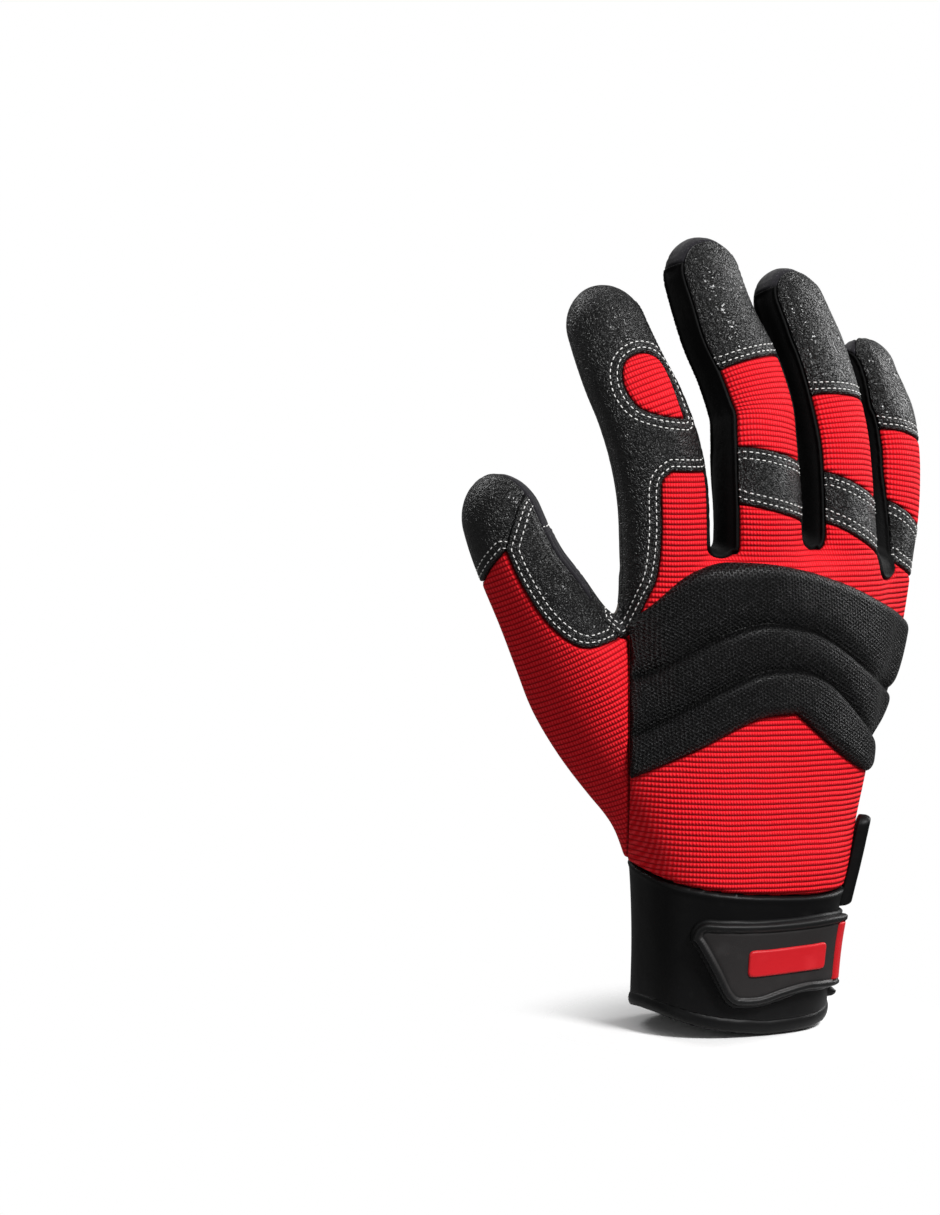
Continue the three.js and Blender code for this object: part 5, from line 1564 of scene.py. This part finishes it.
# %% Draw flat, then bend
def flat_sheet(low_length, high_length, low_up, high_up, cell, field):
    """A sheet in the flat: its points are length, height and nothing."""
    columns = int((high_length - low_length) / cell) + 1
    rows = int((high_up - low_up) / cell) + 1
    lengthwise, upwards = np.linspace(low_length, high_length, columns), np.linspace(low_up, high_up, rows)
    length, up = np.meshgrid(lengthwise, upwards)
    points = np.stack([length.ravel(), up.ravel(), 0 * up.ravel()], axis=1)
    corner = (np.arange(rows - 1)[:, None] * columns + np.arange(columns - 1)).ravel()
    faces = np.concatenate([
        np.stack([corner, corner + 1, corner + columns + 1], axis=1),
        np.stack([corner, corner + columns + 1, corner + columns], axis=1),
    ])
    sheet = Sheet(points, faces, {"length": points[:, 0], "up": points[:, 1]})
    place = wrapped(sheet, 0)
    sheet.facts["s"], sheet.facts["b"] = place @ ACROSS, place @ BACK
    return sheet.cut(field(sheet))


def wrapped(sheet, grow):
    turn = np.interp(sheet["length"], lengths, turns)
    return on_wrist(turn, sheet["up"], grow + np.zeros(len(turn)))


def bent(node, sheet, slot, top, bottom, name=None):
    """Bends a flat sheet round the wrist and closes it: top and bottom are distances from the hand."""
    outer, inner = wrapped(sheet, top), wrapped(sheet, bottom)
    rim = sheet.rim()
    count = len(outer)
    faces = np.concatenate([
        sheet.faces, sheet.faces[:, ::-1] + count,
        np.stack([rim[:, 1], rim[:, 0], rim[:, 0] + count], axis=1),
        np.stack([rim[:, 1], rim[:, 0] + count, rim[:, 1] + count], axis=1),
    ])
    points = np.concatenate([outer, inner])
    edge = sheet.edge_distance()
    made = piece(name or "sewn_" + node, points, faces, slot, {"edge": np.concatenate([edge, edge])})
    if node:
        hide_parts(node)
    if node and slot == "cuff_neoprene":
        cut_from(points, faces, 2)


# %% The cuff, with its folded top edge and the slit
HEM_DIP, HEM_RISE, HEM_LEAN, HEM_REACH, HEM_HEIGHT = -2.2, 11, 5, 0.6, 5


def hem_line(sheet):
    share = sheet["s"] / (HEM_REACH * WRIST_WIDTH)
    return HEM_DIP + HEM_RISE * share**4 + HEM_LEAN * np.maximum(-share, 0)


def slit_in_cuff(sheet):
    return np.maximum(np.abs(sheet["b"] - SLIT_BACK) - SLIT_WIDTH / 2, SLIT_SIDE - sheet["s"])


def on_cuff(sheet):
    return np.max([
        sheet["up"] - wrist_seam(sheet),
        hem_line(sheet) + HEM_HEIGHT - 0.6 - sheet["up"],
        -slit_in_cuff(sheet),
    ], axis=0)


start, end = length_at(60), length_at(60) + ROUND
cuff = flat_sheet(start, end, 0, CUFF_HEIGHT + 9, 0.7, on_cuff)
top_edge = wrist_seam(cuff) - cuff["up"]
fold = 1.2 * pillow(np.minimum(top_edge, slit_in_cuff(cuff)), 0.9)
fold = fold + 0.3 * np.exp(-(((top_edge - 1.2) / 0.7) ** 2))
bent("cuff_band", cuff, "cuff_neoprene", CUFF_PROUD - 1.2 + fold, CUFF_PROUD - CUFF_WALL)


def on_hem(sheet):
    return np.max([
        sheet["up"] - hem_line(sheet) - HEM_HEIGHT, hem_line(sheet) - sheet["up"], -slit_in_cuff(sheet),
    ], axis=0)


hem = flat_sheet(start, end, -4, HEM_HEIGHT + 20, 0.8, on_hem)
share = (hem["up"] - hem_line(hem)) / HEM_HEIGHT
roll = np.sqrt(np.clip(1 - (2 * share - 1) ** 2, 0, 1)) ** 0.7
bent("cuff_hem", hem, "cuff_neoprene", CUFF_PROUD + 0.5 - 1.7 * (1 - roll),
     CUFF_PROUD - CUFF_WALL - 0.5 + 1.2 * (1 - roll))
print("Cuff", len(cuff.faces), "and hem", len(hem.faces), "flat triangles")

# %% [markdown]
# ## The closing strap and its tab
# The strap closes over the cuff with hook and loop. On it sits a moulded tab: a raised rim, a face 0.8 mm
# lower, a sewn line inside the rim, a red bar at the free end and a plain red plate in the middle. The rows
# below are the turn round the wrist in degrees, then low and high as shares of the cuff's height.

# %% Outlines of strap and tab
STRAP = [
    (-49, 0.62, 0.68), (-45, 0.575, 0.745), (-39, 0.48, 0.775), (-32, 0.35, 0.772), (-25, 0.22, 0.767),
    (-20, 0.165, 0.765), (-14, 0.15, 0.76), (-4, 0.152, 0.755), (6, 0.19, 0.752), (16, 0.22, 0.752),
    (31, 0.213, 0.752), (46, 0.205, 0.742), (62, 0.2, 0.735), (76, 0.2, 0.73), (90, 0.2, 0.725),
    (102, 0.21, 0.715), (112, 0.24, 0.7),
]
TAB = [
    (-45.5, 0.635, 0.665), (-43, 0.615, 0.72), (-38, 0.53, 0.754), (-31, 0.395, 0.752), (-25, 0.265, 0.747),
    (-20, 0.2, 0.745), (-14, 0.178, 0.74), (-4, 0.178, 0.734), (3, 0.215, 0.732), (15.5, 0.242, 0.732),
    (31, 0.233, 0.732), (44, 0.226, 0.724), (53, 0.224, 0.719),
]
BAR = [(41.5, 0.275, 0.675), (46, 0.272, 0.672), (50.5, 0.27, 0.67)]
PLATE = [
    (-12, 0.4, 0.53), (-10, 0.375, 0.555), (-2, 0.375, 0.555), (8, 0.38, 0.56), (18, 0.38, 0.56),
    (26, 0.38, 0.56), (28, 0.405, 0.535),
]


print("Rows of the strap:", len(STRAP), "and of the tab:", len(TAB))


# %% Strap, tab, bar and plate
def flat_outline(rows):
    rows = np.array([(length_at(turn), low * CUFF_HEIGHT, high * CUFF_HEIGHT) for turn, low, high in rows])
    fine = spline(rows, np.linspace(0, len(rows) - 1, 6 * len(rows)))
    return np.concatenate([fine[:, [0, 1]], fine[::-1][:, [0, 2]]])


def on_outline(outline):
    return lambda sheet: to_outline(np.stack([sheet["length"], sheet["up"]], axis=1), outline)


def flat_piece(rows, cell, margin=0):
    outline = flat_outline(rows)
    (a, low_up), (b, high_up) = outline.min(0) - 1, outline.max(0) + 1
    return flat_sheet(a, b, low_up, high_up, cell, lambda sheet: on_outline(outline)(sheet) + margin)


strap = flat_piece(STRAP, 0.9)
bent("strap", strap, "cuff_neoprene", 1.1 + 1.0 * pillow(strap.edge_distance(), 0.8), 0.9)

tab = flat_piece(TAB, 0.4)
inset = tab.edge_distance()
TAB_FOOT, TAB_TOP, FACE = 2.2, 4.4, 3.6
rim_round = TAB_FOOT + (TAB_TOP - TAB_FOOT) * pillow(inset, 0.9)
sunk = np.clip((inset - 1.9) / 0.5, 0, 1)
sunk = sunk * sunk * (3 - 2 * sunk)
top = rim_round - (TAB_TOP - FACE) * sunk
bar_field = on_outline(flat_outline(BAR))(tab)
top = top - 0.4 * (bar_field < 0.5)
top = top - 0.25 * np.exp(-(((inset - 2.7) / 0.3) ** 2))
bent("strap_tab", tab, "tab_rubber", top, TAB_FOOT)
for node, rows, foot, high in (("tab_bar", BAR, 3.2, 4.3), ("tab_plate", PLATE, 3.6, 4.3)):
    sheet = flat_piece(rows, 0.4)
    rounded = foot + (high - foot) * pillow(sheet.edge_distance(), 0.5)
    bent(node, sheet, "red_rubber", rounded, foot - 0.1)
print("Strap", len(strap.faces), "and tab", len(tab.faces), "flat triangles")

# %% [markdown]
# ## The slit and its pull loop
# The cuff opens on the little finger's side. A doubled band binds the slit and ends in a loop above the
# cuff, to pull the glove on by. Below the strap, the other end of the band shows as a short, swollen scrap.

# %% Binding
BINDING_LOW, BINDING_HIGH = 0.75 * CUFF_HEIGHT, 1.37 * CUFF_HEIGHT
binding_width, binding_thick = 6, 3.2
middle = SLIT_BACK + SLIT_WIDTH / 2 + 0.3 + binding_width / 2


def on_binding(sheet):
    b, up = sheet["b"], sheet["up"]
    round_top = np.hypot(b - middle, np.maximum(up - BINDING_HIGH + binding_width / 2, 0)) - binding_width / 2
    return np.max([round_top, BINDING_LOW - up, SLIT_SIDE - sheet["s"]], axis=0)


binding = flat_sheet(length_at(50), length_at(110), BINDING_LOW - 1, BINDING_HIGH + 1, 0.4, on_binding)
below_loop = np.clip((BINDING_HIGH - 3 - binding["up"]) / 2, 0, 1)
folded = np.exp(-(((binding["b"] - middle) / 0.5) ** 2)) * below_loop
bent("slit_binding", binding, "cuff_neoprene",
     1.1 + binding_thick * pillow(binding.edge_distance(), 1.6) - 0.9 * folded, 0.5)


def on_binding_end(sheet):
    b, up = sheet["b"], sheet["up"]
    reach = binding_width / 2
    low, high = hem_line(sheet) + HEM_HEIGHT + reach, 0.3 * CUFF_HEIGHT
    round_foot = np.hypot(b - middle, np.maximum(low - up, 0)) - reach
    return np.max([round_foot, up - high, SLIT_SIDE - sheet["s"]], axis=0)


low_end = flat_sheet(length_at(50), length_at(110), 0, 0.3 * CUFF_HEIGHT + 1, 0.5, on_binding_end)
below_strap = np.clip((0.19 * CUFF_HEIGHT - low_end["up"]) / 1.5, 0, 1)
swollen = (0.4 + 2.0 * below_strap) * pillow(low_end.edge_distance(), 1.5)
bent(None, low_end, "cuff_neoprene", 1.0 + swollen, 0.5, name="slit_binding_end")
print("Binding", len(binding.faces), "and its end", len(low_end.faces), "flat triangles")

# %% [markdown]
# ## The lining
# Inside, the glove is a hand-shaped hollow. One coarse, dark skin, a little inside the others, lines it, so
# that nothing shows through a seam and the wrist opening is really open.

# %% Lining
COARSE, INWARD, LINING_TOP = 3, 1.3, 36
lining_points, lining_faces = surface_net(hand[::COARSE, ::COARSE, ::COARSE], COARSE * CELL)
lining_points = settled(lining_points)
lining = Sheet(lining_points, lining_faces, {"z": lining_points[:, 2], "s": lining_points @ ACROSS})
lining.facts["b"] = lining_points @ BACK
lining = lining.cut(LINING_TOP - lining["z"])
inner_points = lining.points - INWARD * unit(slope(lining.points))
made = piece("glove_lining", inner_points, lining.faces, "side_fabric",
             {"edge": np.full(len(inner_points), FAR_IN)})
cut_from(inner_points, lining.faces, 2)
print("Lining", len(lining.faces), "triangles")

# %% [markdown]
# ## Stage, light and camera
# The glove stands on its hem in soft white light, as in a catalogue picture. The floor fades out round it,
# and the camera sees a white page behind. It stands where the picture was taken from: a little above,
# straight at the front of the scene, with the glove in the right half of the frame.

# %% Floor
FLOOR = -2.6 * MM
bpy.ops.mesh.primitive_plane_add(size=1, location=(0, 0, FLOOR))
floor = bpy.context.object
floor.name = "pale_floor"
floor.scale = (0.9, 0.9, 1)
paper = Finish("pale paper")
spot = paper.place() * (1.0 / 1000)
away = paper.node("ShaderNodeVectorMath", {"operation": "LENGTH"}, {0: spot}, output="Value")
paper.surface(Base_Color=(0.9, 0.9, 0.9), Roughness=0.9, Alpha=1 - away.rise(0.025, 0.085))
floor.data.materials.append(paper.material)
print("The floor lies", round(-FLOOR / MM, 1), "mm below the origin")


# %% Light
def soft_light(name, place, size, power, aim=(0, 0, 0.12)):
    lamp = bpy.data.lights.new(name, "AREA")
    lamp.shape, lamp.size, lamp.energy = "DISK", size, power
    holder = bpy.data.objects.new(name, lamp)
    holder.location = place
    holder.rotation_euler = (Vector(aim) - Vector(place)).to_track_quat("-Z", "Y").to_euler()
    bpy.context.scene.collection.objects.link(holder)


LAMPS = {  # place in metres, size and watts
    "key above right": ((0.75, -0.75, 1.15), 0.4, 29),
    "fill left": ((-0.9, -1.2, 0.4), 0.8, 2.4),
    "back rim left": ((-0.6, 0.8, 0.9), 0.5, 4),
    "back rim right": ((0.8, 0.6, 0.5), 0.5, 6),
}
ROOM_LIGHT = 0.15
world = bpy.data.worlds.new("white room")
bpy.context.scene.world = world
world.use_nodes = True
room = world.node_tree
seen = room.nodes.new("ShaderNodeLightPath")
mix = room.nodes.new("ShaderNodeMixShader")
page = room.nodes.new("ShaderNodeBackground")
page.inputs["Color"].default_value = (1, 1, 1, 1)
room.nodes["Background"].inputs["Color"].default_value = (1, 1, 1, 1)
room.nodes["Background"].inputs["Strength"].default_value = ROOM_LIGHT
room.links.new(seen.outputs["Is Camera Ray"], mix.inputs["Fac"])
room.links.new(room.nodes["Background"].outputs["Background"], mix.inputs[1])
room.links.new(page.outputs["Background"], mix.inputs[2])
room.links.new(mix.outputs["Shader"], room.nodes["World Output"].inputs["Surface"])
for name, (place, size, power) in LAMPS.items():
    soft_light(name, place, size, power)
bpy.context.scene.view_settings.view_transform = "Standard"
print("Lamps:", ", ".join(LAMPS))

# %% Camera
AIM = Vector((-0.0816, 0, 0.129))
DISTANCE, ELEVATION, LENS = 1.4, math.radians(6), 132.74
camera = bpy.data.cameras.new("photo camera")
camera.sensor_width, camera.lens = 36, LENS
viewer = bpy.data.objects.new("photo camera", camera)
viewer.location = AIM + DISTANCE * Vector((0, -math.cos(ELEVATION), math.sin(ELEVATION)))
viewer.rotation_euler = (AIM - viewer.location).to_track_quat("-Z", "Y").to_euler()
bpy.context.scene.collection.objects.link(viewer)
bpy.context.scene.camera = viewer
print("The camera is", DISTANCE, "m from the glove")
